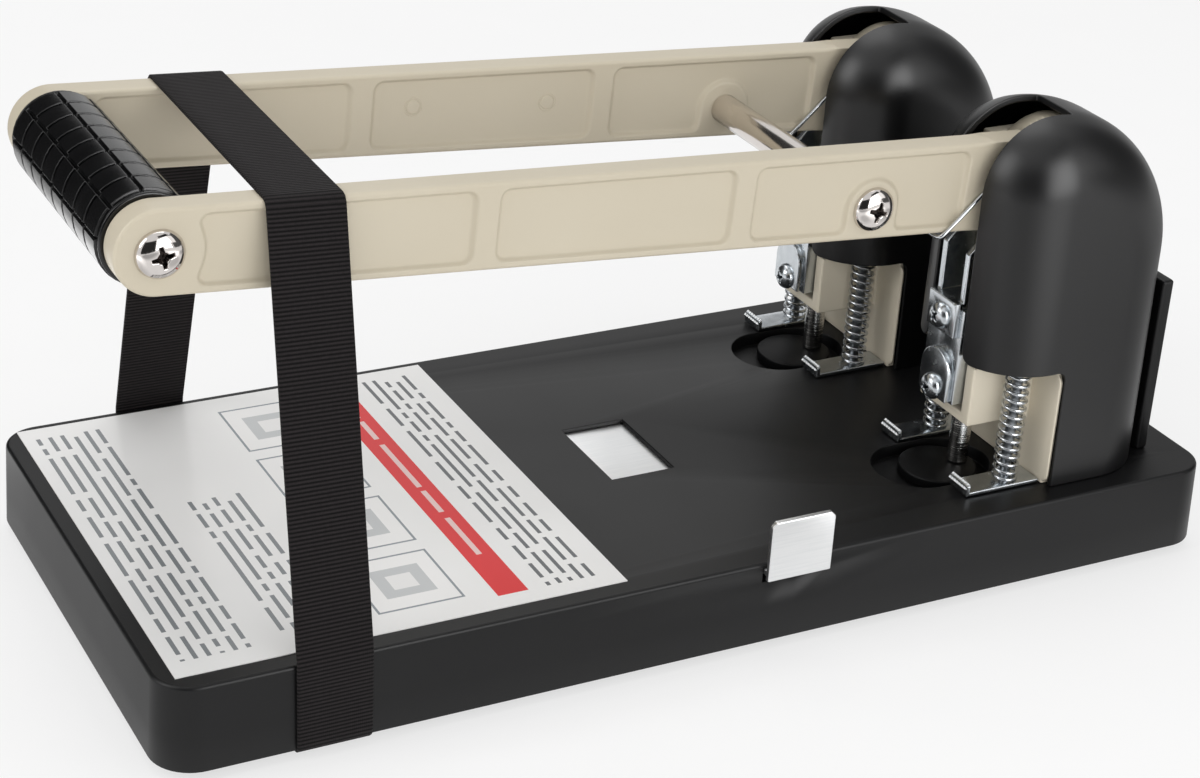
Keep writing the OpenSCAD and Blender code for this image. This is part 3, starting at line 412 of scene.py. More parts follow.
# %% Printed sheet
BAR_SHARE, DASH_LENGTH, DASH_LEVEL = 0.36, 5, 0.42
PANEL_STARTS = (-58, -27, 4, 35)
PANEL = (
    (-97, -73, 0, 26, "#8d9499"), (-96.3, -73.7, 0.7, 25.3, "#efeeed"),
    (-92, -78, 6, 20, "#c3c5c6"), (-88.5, -81.5, 9.5, 16.5, "#e9e8e7"),
)


def printed_sheet(name):
    """Film with printed boxes: masks are 1 inside a range of Object x and y, and inks are mixed over."""
    finish, tree, body = new_finish(name, {"Roughness": 0.22, "IOR": 1.5})
    place = add(tree, "TexCoord").outputs["Object"]
    axis = add(tree, "SeparateXYZ", {"Vector": place}).outputs
    x, y = axis["X"], axis["Y"]

    def both(a, b):
        return calc(tree, "MULTIPLY", a, b)

    def within(value, low, high):
        return both(calc(tree, "GREATER_THAN", value, low * MM), calc(tree, "LESS_THAN", value, high * MM))

    def block(x0, x1, y0, y1):
        return both(within(x, x0, x1), within(y, y0, y1))

    def bars(x0, x1, y0, y1, pitch):
        row = both(x, per_mm(pitch))
        thick = calc(tree, "LESS_THAN", calc(tree, "FRACT", row), BAR_SHARE)
        spot = add(tree, "CombineXYZ", {"X": calc(tree, "FLOOR", row), "Y": both(y, per_mm(DASH_LENGTH))})
        gaps = add(tree, "TexNoise", {"Vector": spot, "Scale": 1.0, "Detail": 0.0})
        return both(block(x0, x1, y0, y1), both(thick, calc(tree, "GREATER_THAN", gaps, DASH_LEVEL)))

    inks = [
        (block(x0, x1, start + y0, start + y1), ink)
        for start in PANEL_STARTS for x0, x1, y0, y1, ink in PANEL
    ]
    inks += [
        (bars(-149.6, -129.2, -60, 63, 3.4), "#83878a"),
        (bars(-122.4, -105.4, -58, 14, 3.4), "#83878a"),
        (block(-65.2, -56.6, -61, 64), "#db2024"),
        (bars(-62.6, -58.4, -40, 44, 4.4), "#e8c9c6"),
        (bars(-51.2, -35.2, -61, 64, 3.2), "#66696c"),
    ]
    tone = mix(tree, noise(tree, place, 50, 2.0), linear("#e6e6e5"), linear("#f6f5f4"))
    for mask, ink in inks:
        tone = mix(tree, mask, tone, linear(ink))
    feed(tree, body, {"Base Color": tone})
    return finish


label_print = printed_sheet("Printed silver-white film")
print("finishes:", len(bpy.data.materials))

# %% [markdown]
# ## The base
# The base is a shallow moulded tray, upside down. A moulding needs draft to leave its mould, so its
# sides lean in by about one degree each, and its top edge is rounded by 1 mm. A copy of the solid keeps
# the window, the recesses and the inside, with its outer walls drawn in a little to make room for a skin.

# %% Base, inside the skin
BASE_HALF, BASE_LOW, BASE_R = np.array([158.5, 72.5]), 2.5, 11.0
SLOT_X, SLOT_Z, TUCK, DRAFT = (7.0, 27.0), (20.9, 25.3), 1.45, 0.85
ON_WALL, NEAR_WALL = 0.3, 3.2


def from_outline(points):
    """Distance inside the base's round-cornered outline, and the direction out of it, in the plan."""
    past = np.maximum(np.abs(points[:, :2]) - (BASE_HALF - BASE_R), 0)
    reach = np.linalg.norm(past, axis=1)
    out = np.sign(points[:, :2]) * past / np.maximum(reach, 1e-9)[:, None]
    return np.where(reach > 0, BASE_R - reach, BASE_R), out


def tuck_walls(points):
    """Moves the points on the outer walls inwards, to make room for the skin."""
    inset, out = from_outline(points)
    moved = points.copy()
    moved[:, :2] -= np.where(inset < ON_WALL, TUCK, 0)[:, None] * out
    return moved


def base_edges(middles):
    """Share of the radius: nothing near the outer walls, which the skin hides, and all of it elsewhere."""
    return np.where(from_outline(middles)[0] < NEAR_WALL, 0.0, 1.0)


base = soften("base_shell", 0.3, rule=base_edges, reshape=tuck_walls)
settle(base, base_black, "base_shell")
print("base:", len(base.data.polygons), "faces before rounding")

# %% [markdown]
# ### The base's skin
# The outline goes round the base in four straight runs, each with a corner at its end. The rows climb the
# wall and roll over the top edge, and the quads of the paper guide's slot are left out. A thickness makes
# the skin a wall, and the rear plate is a softened solid in the same plastic.

# %% Skin of the base
SKIN_WALL, ROLL_R, LOW_R, LOW_TURN, WALL_ROW = 0.8, 1.0, 0.3, 1.5, 12


def base_outline():
    """Places round the base in the plan, and the direction out of the base at each."""
    straight = BASE_HALF - BASE_R
    front = np.array([-straight[0], -100, -50, SLOT_X[0], np.mean(SLOT_X), SLOT_X[1], 60, 105, straight[0]])
    side = np.linspace(-straight[1], straight[1], 7)
    bend = np.linspace(0, np.pi / 2, 13)[1:-1]
    spots, outs = [], []
    for k, run in enumerate((front, side, front[::-1], side[::-1])):
        turn = (k - 1) * np.pi / 2
        out = np.round([np.cos(turn), np.sin(turn)])
        wall = np.abs(out[::-1]) * run[:, None] + out * BASE_HALF
        arc = np.stack([np.cos(turn + bend), np.sin(turn + bend)], 1)
        spots += [wall, wall[-1] - out * BASE_R + BASE_R * arc]
        outs += [np.tile(out, (len(run), 1)), arc]
    return np.concatenate(spots), np.concatenate(outs)


def base_skin():
    """Point = outline - inset * normal; the inset falls with depth by the draft and rolls over at the top."""
    spots, outs = base_outline()
    roll = np.linspace(0, np.pi / 2, 8)
    profile = np.concatenate([
        [[LOW_TURN, BASE_LOW], [LOW_R, BASE_LOW], [0.3 * LOW_R, BASE_LOW + 0.3 * LOW_R]],
        [[0, BASE_LOW + LOW_R], [0, WALL_ROW], [0, SLOT_Z[0]], [0, SLOT_Z[1]]],
        np.stack([ROLL_R - ROLL_R * np.cos(roll), BASE_TOP - ROLL_R + ROLL_R * np.sin(roll)], 1),
    ])
    inset = profile[:, 0] + DRAFT * (0.5 - (BASE_TOP - profile[:, 1]) / (BASE_TOP - BASE_LOW))
    inset, z = np.append(inset, TUCK), np.append(profile[:, 1], BASE_TOP)
    xy = spots - inset[:, None, None] * outs
    points, quads = grid(xy[:, :, 0], xy[:, :, 1], z[:, None], wrap_cols=True)
    middle = points[quads].mean(1)
    slot = middle[:, 1] < 0
    for axis, (low, high) in ((0, SLOT_X), (2, SLOT_Z)):
        slot &= (middle[:, axis] > low) & (middle[:, axis] < high)
    return points, quads[~slot]


def add_wall(obj, thickness):
    """Gives a surface a wall of `thickness` millimetres, towards its inside."""
    wall = obj.modifiers.new("Wall", "SOLIDIFY")
    wall.thickness = thickness * MM
    wall.offset = -1.0


skin = make_piece("base_skin", *base_skin())
skin.data.set_sharp_from_angle(angle=math.radians(50))
add_wall(skin, SKIN_WALL)
settle(skin, base_black, "base_shell", replaces=False)
settle(soften("rear_plate", 0.9), base_black, "rear_plate")
print("skin:", len(skin.data.polygons), "faces")

# %% [markdown]
# ## The tower covers
# A cover is one rounded profile carried along a path: up the front, over a tight brow, down a wide dome
# and down the rear. The path's stations come first. Each has a centre, a direction out of the tower and
# the profile's distance from the centre.

# %% Path over a tower
FRONT, REAR, HALF, HEIGHT, ROUND, DOME = 10.0, 52.3, 25.2, 106.4, 20.0, 41.0
SLOT, SLOT_BACK, CUT_UP, CUT_BACK, CUT_R = 8.3, 17.1, 35.8, 14.5, 2.4
DOME_X, DOME_Z = REAR - DOME, HEIGHT - DOME
BROW = DOME_X + FRONT
BROW_Z = HEIGHT - BROW
UP_ROWS, BROW_ROWS, SLOT_ROWS, DOME_ROWS, DOWN_ROWS = 16, 19, 4, 29, 13


def cover_path():
    """The height of each station's centre, the direction out in x and z, and the radius."""
    slot_angle = math.asin((SLOT_BACK - DOME_X) / DOME)
    up = np.linspace(0, 1, UP_ROWS)
    brow = np.linspace(0, np.pi / 2, BROW_ROWS + 1)[1:]
    dome = np.append(
        np.linspace(0, slot_angle, SLOT_ROWS + 1)[1:], np.linspace(slot_angle, np.pi / 2, DOME_ROWS + 1)[1:]
    )
    down = np.linspace(0, 1, DOWN_ROWS + 1)[1:]
    level = np.concatenate([
        CUT_UP + (BROW_Z - CUT_UP) * up, BROW_Z + 0 * brow, DOME_Z + 0 * dome, DOME_Z * (1 - down)
    ])
    out_x = np.concatenate([0 * up - 1, -np.cos(brow), np.sin(dome), 0 * down + 1])
    out_z = np.concatenate([0 * up, np.sin(brow), np.cos(dome), 0 * down])
    radius = np.repeat([BROW, DOME], [len(up) + len(brow), len(dome) + len(down)])
    return level, out_x, out_z, radius


# %% [markdown]
# Across the tower the profile is flat in the middle and rounded by 20 mm at each side, and flat panels
# close the sides. The slot for the arm leaves out the middle of the profile in front, and the side
# cutouts end the front of the path above the base. The cover narrows a little upwards, as a moulding
# does, and a thickness makes it a shell.

# %% Covers
COVER_WALL, LOW_WIDTH, NARROWING = 1.9, 1.008, 0.0006
SLOT_CORNER, CORNER_FADE = 3.6, 30.0


def cover_shell(side):
    """Point = centre + outward * (radius - drop), where drop is the 20 mm rounding across the tower."""
    level, out_x, out_z, radius = cover_path()
    wing = np.linspace(math.asin((SLOT - HALF + ROUND) / ROUND), np.pi / 2, 26)
    across = np.append(HALF - ROUND + ROUND * np.sin(wing), HALF)
    drop = np.append(ROUND - ROUND * np.cos(wing), ROUND + 1.0)
    middle = np.linspace(-SLOT, SLOT, 13)[1:-1]
    middle_drop = ROUND - np.sqrt(ROUND**2 - np.maximum(np.abs(middle) - (HALF - ROUND), 0) ** 2)
    y = np.concatenate([-across[::-1], middle, across])
    reach = radius[:, None] - np.concatenate([drop[::-1], middle_drop, drop])
    x = DOME_X + out_x[:, None] * reach
    z = level[:, None] + out_z[:, None] * reach
    corner = np.clip((SLOT_CORNER - (np.abs(y) - SLOT)) / SLOT_CORNER, 0, 1)
    lift = SLOT_CORNER - SLOT_CORNER * np.sqrt(1 - corner**2)
    low = np.clip(1 - (z - CUT_UP) / CORNER_FADE, 0, 1)
    low[UP_ROWS:] = 0
    points, quads = grid(x, y, z + lift * low)
    rows, cols = x.shape
    row, col = np.divmod(quads[:, 0], cols)
    wings = len(across) - 1
    slot_end = UP_ROWS + BROW_ROWS + SLOT_ROWS - 1
    open_slot = (row < slot_end) & (col >= wings) & (col <= wings + len(middle))
    faces = quads[~open_slot].tolist()
    bend = np.linspace(0, np.pi / 2, 8)
    rim_x = np.append(CUT_BACK - CUT_R + CUT_R * np.sin(bend), CUT_BACK)
    rim_z = np.append(CUT_UP - CUT_R + CUT_R * np.cos(bend), 0.0)
    for s, column in ((-1, 0), (1, cols - 1)):
        first = len(points)
        points = np.concatenate([points, np.stack([rim_x, np.full(len(rim_x), s * HALF), rim_z], -1)])
        loop = [r * cols + column for r in range(rows)] + list(range(len(points) - 1, first - 1, -1))
        faces.append(loop if s > 0 else loop[::-1])
    points[:, 1] *= LOW_WIDTH - NARROWING * points[:, 2]
    return at_tower(points, side), faces


for side in TOWER_Y:
    cover = make_piece(side + "_cover_shell", *cover_shell(side))
    add_wall(cover, COVER_WALL)
    round_edges(cover, 0.5, turn=50)
    settle(cover, cover_black, side + "_cover")
    print(side, "cover:", len(cover.data.polygons), "faces")

# %% [markdown]
# ## Castings, pressings and small solids
# The punch frames are die castings, the feet, clamps and brackets are bent sheet, and the discs are
# loose mouldings. Their solids already have the right form, so softened copies stand for them.

# %% Softened pieces
in_both_towers = (
    ("punch_frame", 0.6, frame_coat_painted_light), ("clevis", 0.3, zinc), ("clamp_plate", 0.3, zinc),
    ("slider", 0.3, zinc), ("cross_bar", 0.4, steel), ("punch", 0.2, ground_steel),
)
soft_pieces = {
    **{side + "_" + kind: how for kind, *how in in_both_towers for side in TOWER_Y},
    **{foot + "_foot": (0.3, zinc) for foot in FEET},
    "near_cutting_disc": (0.5, disc_black), "far_cutting_disc": (0.5, disc_black),
    "paper_guide": (0.35, brushed), "tie_rod": (0.3, rod_nickel), "rubber_feet": (0.5, foot_rubber),
    "bottom_plate": (0.3, plate_black),
}
for node, (width, finish) in soft_pieces.items():
    settle(soften(node, width), finish, node)
print("softened:", len(soft_pieces), "solids")

# %% [markdown]
# ### Sheared edges of the feet
# Each foot is sheet metal, bent up at the front. The shears leave the end of the sheet rough and bright,
# with fine ribs, so a strip at 45 degrees lies along the top of each lip.

# %% Sheared edges
RIBS, RIB_RISE, STRIP_INSET = 7, 0.07, 0.15


def lip_edge(low, high):
    """A wedge along y on the lip's top front edge. Its slanted face rises and falls as
    cos(2 pi * ribs * share of the width)."""
    y = np.linspace(low[1] + STRIP_INSET, high[1] - STRIP_INSET, 71)
    rib = RIB_RISE * np.cos(np.linspace(0, 2 * np.pi * RIBS, len(y)))[:, None] * np.array([1, 1, 0, 0])
    x = low[0] + np.array([-0.4, 1.0, 1.0, 0.0]) - rib
    z = high[2] + np.array([-1.0, 0.4, -0.1, -1.0]) + rib
    points, quads = grid(x, y[:, None], z, wrap_cols=True)
    last = len(points) - 4
    return points, quads.tolist() + [[3, 2, 1, 0], [last, last + 1, last + 2, last + 3]]


for foot in FEET:
    strip = make_piece(foot + "_foot_edge", *lip_edge(*node_box(foot + "_foot")))
    strip.data.polygons.foreach_set("use_smooth", np.zeros(len(strip.data.polygons), bool))
    settle(strip, sheared, foot + "_foot", replaces=False)
print("sheared edges: 4 strips of", len(strip.data.polygons), "faces")

# %% [markdown]
# ## The lever arms
# An arm is a die casting with three shallow pockets in each face. A casting has no sharp edges, so the
# pockets' sides slope and blend into the rims. Each point of the surface knows how far inside a pocket's
# outline it lies, and that distance sets how deep it sinks.

# %% Pockets of an arm
LENGTH = np.linalg.norm(GRIP - PIVOT)
ALONG = (GRIP - PIVOT) / LENGTH
UPWARD = np.array([ALONG[1], -ALONG[0]])
TIE = node_box("tie_rod").mean(0)[[0, 2]]
TIE_U, TIE_W = (TIE - PIVOT) @ ALONG, (TIE - PIVOT) @ UPWARD
POCKETS = ((31.4, 98.4), (104.4, 171.6), (177.6, 248.7))
POCKET_DEEP, RIM, CORNER = 1.2, 1.9, 3.0
HUB_HALF, TAPER, END_R, GRIP_BOSS, TIE_BOSS = 12.9, 1.9, 11.0, 11.0, 7.8
GRIP_BLEND, TIE_BLEND, SLOPE_OUT, SLOPE_WIDE = 1.5, 2.5, 0.25, 1.15


def arm_half(u):
    """Half the height of an arm at a distance u from the pivot."""
    return HUB_HALF - TAPER * np.minimum(u, LENGTH) / LENGTH


def soft_min(a, b, k):
    """The smaller of two distances, with the crease between them filled over a width of k."""
    h = np.maximum(k - np.abs(a - b), 0) / k
    return np.minimum(a, b) - h * h * k / 4


def pocket_sink(u, w):
    """Share of the depth: a smooth step of the distance inside the rounded boxes and outside the bosses."""
    inside = np.full(u.shape, -9.0)
    for start, end in POCKETS:
        q = np.abs(u - (start + end) / 2) - (end - start) / 2 + CORNER
        v = np.abs(w) - arm_half(u) + RIM + CORNER
        box = np.hypot(np.maximum(q, 0), np.maximum(v, 0)) + np.minimum(np.maximum(q, v), 0) - CORNER
        inside = np.maximum(inside, -box)
    inside = soft_min(inside, np.hypot(u - LENGTH, w) - GRIP_BOSS, GRIP_BLEND)
    inside = soft_min(inside, np.hypot(u - TIE_U, np.maximum(w - TIE_W, 0)) - TIE_BOSS, TIE_BLEND)
    step = np.clip((inside + SLOPE_OUT) / SLOPE_WIDE, 0, 1)
    return step * step * (3 - 2 * step)


# %% [markdown]
# The rows follow the arm's outline from the tower, round the grip end and back, closer together where a
# pocket starts or ends. The columns go in from the outline to the middle line. The outline's edges are
# rounded by 0.9 mm, and the rounding fades away towards the hub.

# %% Surface of an arm
HUB_END, EDGE_R, HUB_FADE = 24.0, 0.9, 5
WIDE_STEP, CLOSE_STEP = 2.5, 0.4
CLOSE_RUNS = ((24, 38), (50, 73), (94, 112), (169, 187), (243, LENGTH))


def arm_outline():
    """Places on the outline as (u, w), the direction out of it, and the distance to the middle line."""
    close = [np.arange(a, b, CLOSE_STEP) for a, b in CLOSE_RUNS]
    u = np.unique(np.round(np.concatenate([np.arange(HUB_END, LENGTH, WIDE_STEP), *close, [LENGTH]]), 3))
    a = np.linspace(np.pi / 2, 0, 25)[1:]
    arc = np.stack([np.cos(a), np.sin(a)], 1)
    spot = np.concatenate([np.stack([u, arm_half(u)], 1), [LENGTH, 0] + END_R * arc])
    out = np.concatenate([np.tile([0.0, 1.0], (len(u), 1)), arc])
    to_axis = np.append(arm_half(u), np.full(len(a), END_R))
    back, flip = slice(-2, None, -1), np.array([1.0, -1.0])
    spot, out = np.concatenate([spot, spot[back] * flip]), np.concatenate([out, out[back] * flip])
    return spot, out, np.append(to_axis, to_axis[back])


def arm_surface(hand):
    """Point = outline - inset * outline's normal; y = face - rounding near the edge - pocket's depth."""
    spot, out, to_axis = arm_outline()
    bend = np.linspace(0, np.pi / 2, 7)
    near = np.append(EDGE_R * (1 - np.cos(bend)), np.arange(1.1, 3.5, 0.2))
    deep = near[-1] + (to_axis[:, None] - near[-1]) * np.linspace(0, 1, 24)[1:]
    inset = np.concatenate([np.broadcast_to(near, (len(spot), len(near))), deep], 1)
    drop = EDGE_R - np.sqrt(EDGE_R**2 - np.clip(EDGE_R - inset, 0, EDGE_R) ** 2)
    drop *= np.clip((spot[:, :1] - HUB_END) / HUB_FADE, 0, 1)
    at = spot[:, None] - inset[:, :, None] * out[:, None]
    sink = drop + POCKET_DEEP * pocket_sink(at[:, :, 0], at[:, :, 1])
    at = np.concatenate([at[:, ::-1], at], 1)
    y = hand * np.concatenate([(ARM_OUT - sink)[:, ::-1], ARM_IN + sink], 1)
    xz = PIVOT + at[:, :, :1] * ALONG + at[:, :, 1:] * UPWARD
    rows, cols = y.shape
    last = (rows - 1) * cols
    cap = list(range(cols)) + list(range(last + cols - 2, last, -1))
    points, quads = grid(xz[:, :, 0], y, xz[:, :, 1])
    return points, quads.tolist() + [cap]


# %% [markdown]
# The hub sits in the tower, so the solid's own hub is kept: a copy of the solid is cut off 24 mm from the
# pivot and closed, and the new surface starts there. The two meet without a step.

# %% Arms
def arm_hub(node):
    """A merged copy of the solid, cut square to the arm at the hub's end and closed."""
    bm = merged_copy(node)
    cut = (PIVOT + HUB_END * ALONG) * MM
    everything = bm.verts[:] + bm.edges[:] + bm.faces[:]
    plane = {"plane_co": (cut[0], 0, cut[1]), "plane_no": (ALONG[0], 0, ALONG[1])}
    bmesh.ops.bisect_plane(bm, geom=everything, clear_outer=True, **plane)
    bmesh.ops.holes_fill(bm, edges=[e for e in bm.edges if e.is_boundary])
    mesh = bpy.data.meshes.new(node + "_hub")
    bm.to_mesh(mesh)
    bm.free()
    hub = smooth_object(mesh)
    mesh.set_sharp_from_angle(angle=SHARP)
    return hub


for node, hand in (("near_arm", -1), ("far_arm", 1)):
    arm = make_piece(node + "_casting", *arm_surface(hand))
    arm.data.set_sharp_from_angle(angle=math.radians(60))
    settle(arm, beige_coat, node)
    hub = arm_hub(node)
    settle(hub, beige_coat, node, replaces=False)
    print(node, len(arm.data.polygons), "faces, hub", len(hub.data.polygons))

# %% [markdown]
# ## Ejector marks
# Pins push a casting out of its die and leave round marks. Two show on the inner face of the far arm.
# Each is a shallow disc: a polar grid whose height falls off in a rounded rim.

# %% Ejector marks
MARK_R, MARK_RISE, RING_AT, RING_WIDE, SUNK = 2.7, 0.3, 0.8, 0.22, -0.2


def mark_disc(x, z):
    """Height(r) = h * (1 - (r/R)^8), with a shallow ring inside the rim, on the floor of the pocket."""
    r = np.linspace(0, 1, 31) * MARK_R
    a = np.linspace(0, 2 * np.pi, 41)[:-1]
    ring = np.exp(-(((r - RING_AT * MARK_R) / RING_WIDE) ** 2))
    up = MARK_RISE * (1 - (r / MARK_R) ** 8) - MARK_RISE * ring
    r, up = np.append(r, [MARK_R, 0])[:, None], np.append(up, [SUNK, SUNK])[:, None]
    return grid(x + r * np.cos(a), ARM_IN + POCKET_DEEP - up, z + r * np.sin(a), wrap_cols=True)


marks = make_piece("far_arm_marks", *joined([mark_disc(-48.8, 122.6), mark_disc(-8.0, 119.2)]))
settle(marks, beige_coat, "far_arm", replaces=False)
print("marks:", len(marks.data.polygons), "faces")

# %% [markdown]
# ## Solids that stay as they are
# The printed sheet is flat, and the rest of these pieces are mostly hidden by the covers, the base and
# the grip. Each keeps its own solid and gets a finish.

# %% Plain solids
plain_finish = {
    "instruction_label": label_print, "bottom_screws": nickel, "frame_bolts": steel, "guide_keeper": steel,
    "near_pivot_pin": steel, "far_pivot_pin": steel, "near_drive_pin": steel, "far_drive_pin": steel,
    "grip_tube": steel, "pivot_bushes": bronze, **{foot + "_foot_rod": steel for foot in FEET},
}
for node, finish in plain_finish.items():
    frame["nodes"][node].data.materials.clear()
    frame["nodes"][node].data.materials.append(finish)
print("plain solids:", len(plain_finish))

# %% [markdown]
# ## The rubber grip
# The sleeve is moulded in rows of blocks with grooves between them. It is a tube whose radius dips by
# the depth of a groove wherever the angle or the place along the grip is close to a groove line, so the
# grid has extra rows and columns at each groove's edges.

# %% Grip
GRIP_R, BLOCKS_ROUND, BLOCKS_ALONG, BLOCK_END = 12.4, 9, 8, 34.3
GRIP_HALF, TUBE_R, GROOVE, GRIP_TURN = 35.8, 7.05, 1.0, 0.037


def groove_steps(count, floor, slope):
    """Places within one turn or length of `count` blocks, and how deep the groove is at each: 0 or 1."""
    step = np.array([-floor, floor, floor + slope, 0.25, 0.5, 0.75, 1 - floor - slope])
    depth = np.array([1.0, 1.0, 0.0, 0.0, 0.0, 0.0, 0.0])
    return (np.arange(count)[:, None] + step).ravel() / count, np.tile(depth, count)


def grip_surface():
    """Radius = grip radius minus the groove's depth, at the deeper of the two grooves' values."""
    turn, dip_round = groove_steps(BLOCKS_ROUND, 0.026, 0.034)
    along, dip_along = groove_steps(BLOCKS_ALONG, 0.04, 0.03)
    tip = np.array([GRIP_HALF, GRIP_HALF, GRIP_HALF - 0.3, BLOCK_END + 0.7])
    last_groove = [BLOCK_END - 0.3, BLOCK_END + 0.3]
    y = np.concatenate([-tip, -BLOCK_END + 2 * BLOCK_END * along, last_groove, tip[::-1]])
    collar = GRIP_R - 0.4
    ends = [TUBE_R, collar - 0.4, collar, collar]
    base_r = np.concatenate([ends, np.full(len(along) + 2, GRIP_R), ends[::-1]])
    dip = np.concatenate([np.zeros(4), dip_along, np.ones(2), np.zeros(4)])
    block = np.concatenate([np.zeros(4), np.ones(len(along) + 1), np.zeros(5)])
    r = base_r[:, None] - GROOVE * np.maximum(dip[:, None], dip_round * block[:, None])
    a = 2 * np.pi * (turn + GRIP_TURN)
    return grid(GRIP[0] + r * np.cos(a), y[:, None], GRIP[1] + r * np.sin(a), wrap_cols=True)


grip = make_piece("grip_sleeve_blocks", *grip_surface())
round_edges(grip, 0.18, segments=2, turn=35)
settle(grip, grip_rubber, "grip_sleeve")
print("grip:", len(grip.data.polygons), "faces")

# %% [markdown]
# ## Screws
# Each visible screw is a pan head with a cross recess. The head is a dome over a disc of polar grid
# points, and the recess pushes points down inside a cross whose arms narrow outwards.

# %% Screw heads
def cross_recess(x, y, radius):
    """1 inside a cross whose arms narrow outwards, 0 outside, with short slopes between."""
    reach = 0.46 * radius

    def arm(p, q):
        wide = 0.105 * radius * (1.25 - 0.5 * np.abs(p) / reach)
        edge_side = np.clip((wide - np.abs(q)) / (0.05 * radius), 0, 1)
        edge_end = np.clip((reach - np.abs(p)) / (0.12 * radius), 0, 1)
        return np.minimum(edge_side, edge_end)

    heart = np.clip((0.25 * radius - np.hypot(x, y)) / (0.1 * radius), 0, 1)
    return np.maximum(np.maximum(arm(x, y), arm(y, x)), heart)


def screw_head(radius, height, turn):
    """Dome height(r) = h * (1 - (r/R)^2.6)^0.55, less the cross recess; the rim runs down to the seat."""
    r = np.concatenate([np.linspace(0, 0.62, 26), np.linspace(0.66, 1.0, 12), [1.0, 0.4]]) * radius
    a = np.linspace(0, 2 * np.pi, 121)[:-1]
    x, y = r[:, None] * np.cos(a), r[:, None] * np.sin(a)
    z = (height * (1 - (r / radius) ** 2.6) ** 0.55)[:, None] - 0.74 * height * cross_recess(x, y, radius)
    z[-2:] = -0.05
    c, s = math.cos(turn), math.sin(turn)
    return grid(c * x - s * y, s * x + c * y, z, wrap_cols=True)


# %% [markdown]
# A head is placed by its seat, two directions across it and one out of it, and a turn, because no two
# screws stop at the same angle. Each point also keeps how far inside the recess it lies, for painted shade.

# %% Placing the heads
def place_heads(name, node, finish, heads, radius, height):
    """One piece with a head for each (position, x axis, y axis, outward axis, turn) in `heads`."""
    parts = []
    for spot, ax, ay, out, turn in heads:
        points, quads = screw_head(radius, height, turn)
        parts.append((points @ np.array([ax, ay, out], float) + np.array(spot), quads))
    piece = make_piece(name, *joined(parts))
    points = np.array([v.co for v in piece.data.vertices]) / MM
    deep = np.zeros(len(points))
    for spot, ax, ay, out, turn in heads:
        u, v, w = np.array([ax, ay, out], float) @ (points - np.array(spot)).T
        c, s = math.cos(turn), math.sin(turn)
        inside = cross_recess(c * u + s * v, c * v - s * u, radius)
        deep = np.maximum(deep, np.where(np.abs(w) < 2 * height, inside, 0))
    piece.data.attributes.new("recess", "FLOAT", "POINT").data.foreach_set("value", deep)
    settle(piece, finish, node)
    print(name, len(piece.data.polygons), "faces")


X, Y, Z = np.eye(3)
END_INSET, SEAT_DEEP = 3.5, 2.4
# Radius and height of a head
ARM_HEAD, SLIDER_HEAD, REAR_HEAD = (6.2, 3.2), (3.9, 2.6), (3.5, 2.4)
for name, (x, z), first, step in (("grip", GRIP, 0.5, 0.3), ("tie_rod", TIE, 0.9, -0.4)):
    place_heads(name + "_screw_heads", name + "_screws", screw_nickel, [
        ([x, s * ARM_OUT, z], X, Z * -s, Y * s, first + step * s) for s in (-1, 1)
    ], *ARM_HEAD)
for side in TOWER_Y:
    low, high = node_box(side + "_slider_screws")
    place_heads(side + "_slider_screw_heads", side + "_slider_screws", screw_zinc, [
        ([low[0] + SEAT_DEEP, TOWER_Y[side], z], Y * -1, Z, X * -1, turn)
        for z, turn in ((low[2] + END_INSET, 0.4), (high[2] - END_INSET, 0.9))
    ], *SLIDER_HEAD)
low, high = node_box("rear_plate_screws")
place_heads("rear_screw_heads", "rear_plate_screws", screw_nickel, [
    ([high[0] - SEAT_DEEP, y, z], Y, Z, X, 0.3 + y * 0.01 + z * 0.02)
    for y in TOWER_Y.values() for z in (low[2] + END_INSET, high[2] - END_INSET)
], *REAR_HEAD)

# %% [markdown]
# ## Springs
# A spring is a round wire carried along a path. Its skin is a ring of points at each station, square to
# the path, and the ring's first direction is carried from station to station without twist. A press
# foot's coil is wound closer at both ends, where its pitch drops.

# %% Wire and foot springs
FOOT_TOP, BAR_LOW, FOOT_Y, SPRING_R, WIRE_R, CURLS = 1.5, 35.3, 17.5, 3.2, 0.5, 14
ROD_X = node_box("near_outer_foot_rod").mean(0)[0] - PUNCH_X


def unit(vectors):
    """The same directions, each with a length of 1."""
    return vectors / np.linalg.norm(vectors, axis=-1, keepdims=True)


def wire_skin(path, radius, sides=10):
    """Rings of points round a path, with end caps: ring = path + radius * (cos * normal + sin * binormal)."""
    t = unit(np.gradient(path, axis=0))
    n = np.zeros_like(path)
    n[0] = np.cross(t[0], [0.3, 0.5, 0.8])
    for i in range(len(path)):
        start = n[max(i - 1, 0)]
        n[i] = unit(start - t[i] * (start @ t[i]))
    b = np.cross(t, n)
    a = np.linspace(0, 2 * np.pi, sides + 1)[:-1, None]
    ring = path[:, None] + radius * (np.cos(a) * n[:, None] + np.sin(a) * b[:, None])
    points, quads = grid(*np.moveaxis(ring, -1, 0), wrap_cols=True)
    order = list(range(len(points)))
    return points, quads.tolist() + [order[:sides][::-1], order[-sides:]]


def coil_path():
    """Left-handed helix: angle grows evenly, height grows at the pitch, which falls over the end curls."""
    u = np.linspace(0, 1, CURLS * 28)
    rise = np.cumsum(0.28 + 0.72 * np.clip(np.minimum(u, 1 - u) * CURLS, 0, 1))
    rise = (rise - rise[0]) / (rise[-1] - rise[0])
    a = -2 * np.pi * CURLS * u
    height = WIRE_R + (BAR_LOW - FOOT_TOP - 2 * WIRE_R) * rise
    return np.stack([SPRING_R * np.cos(a), SPRING_R * np.sin(a), height], -1)


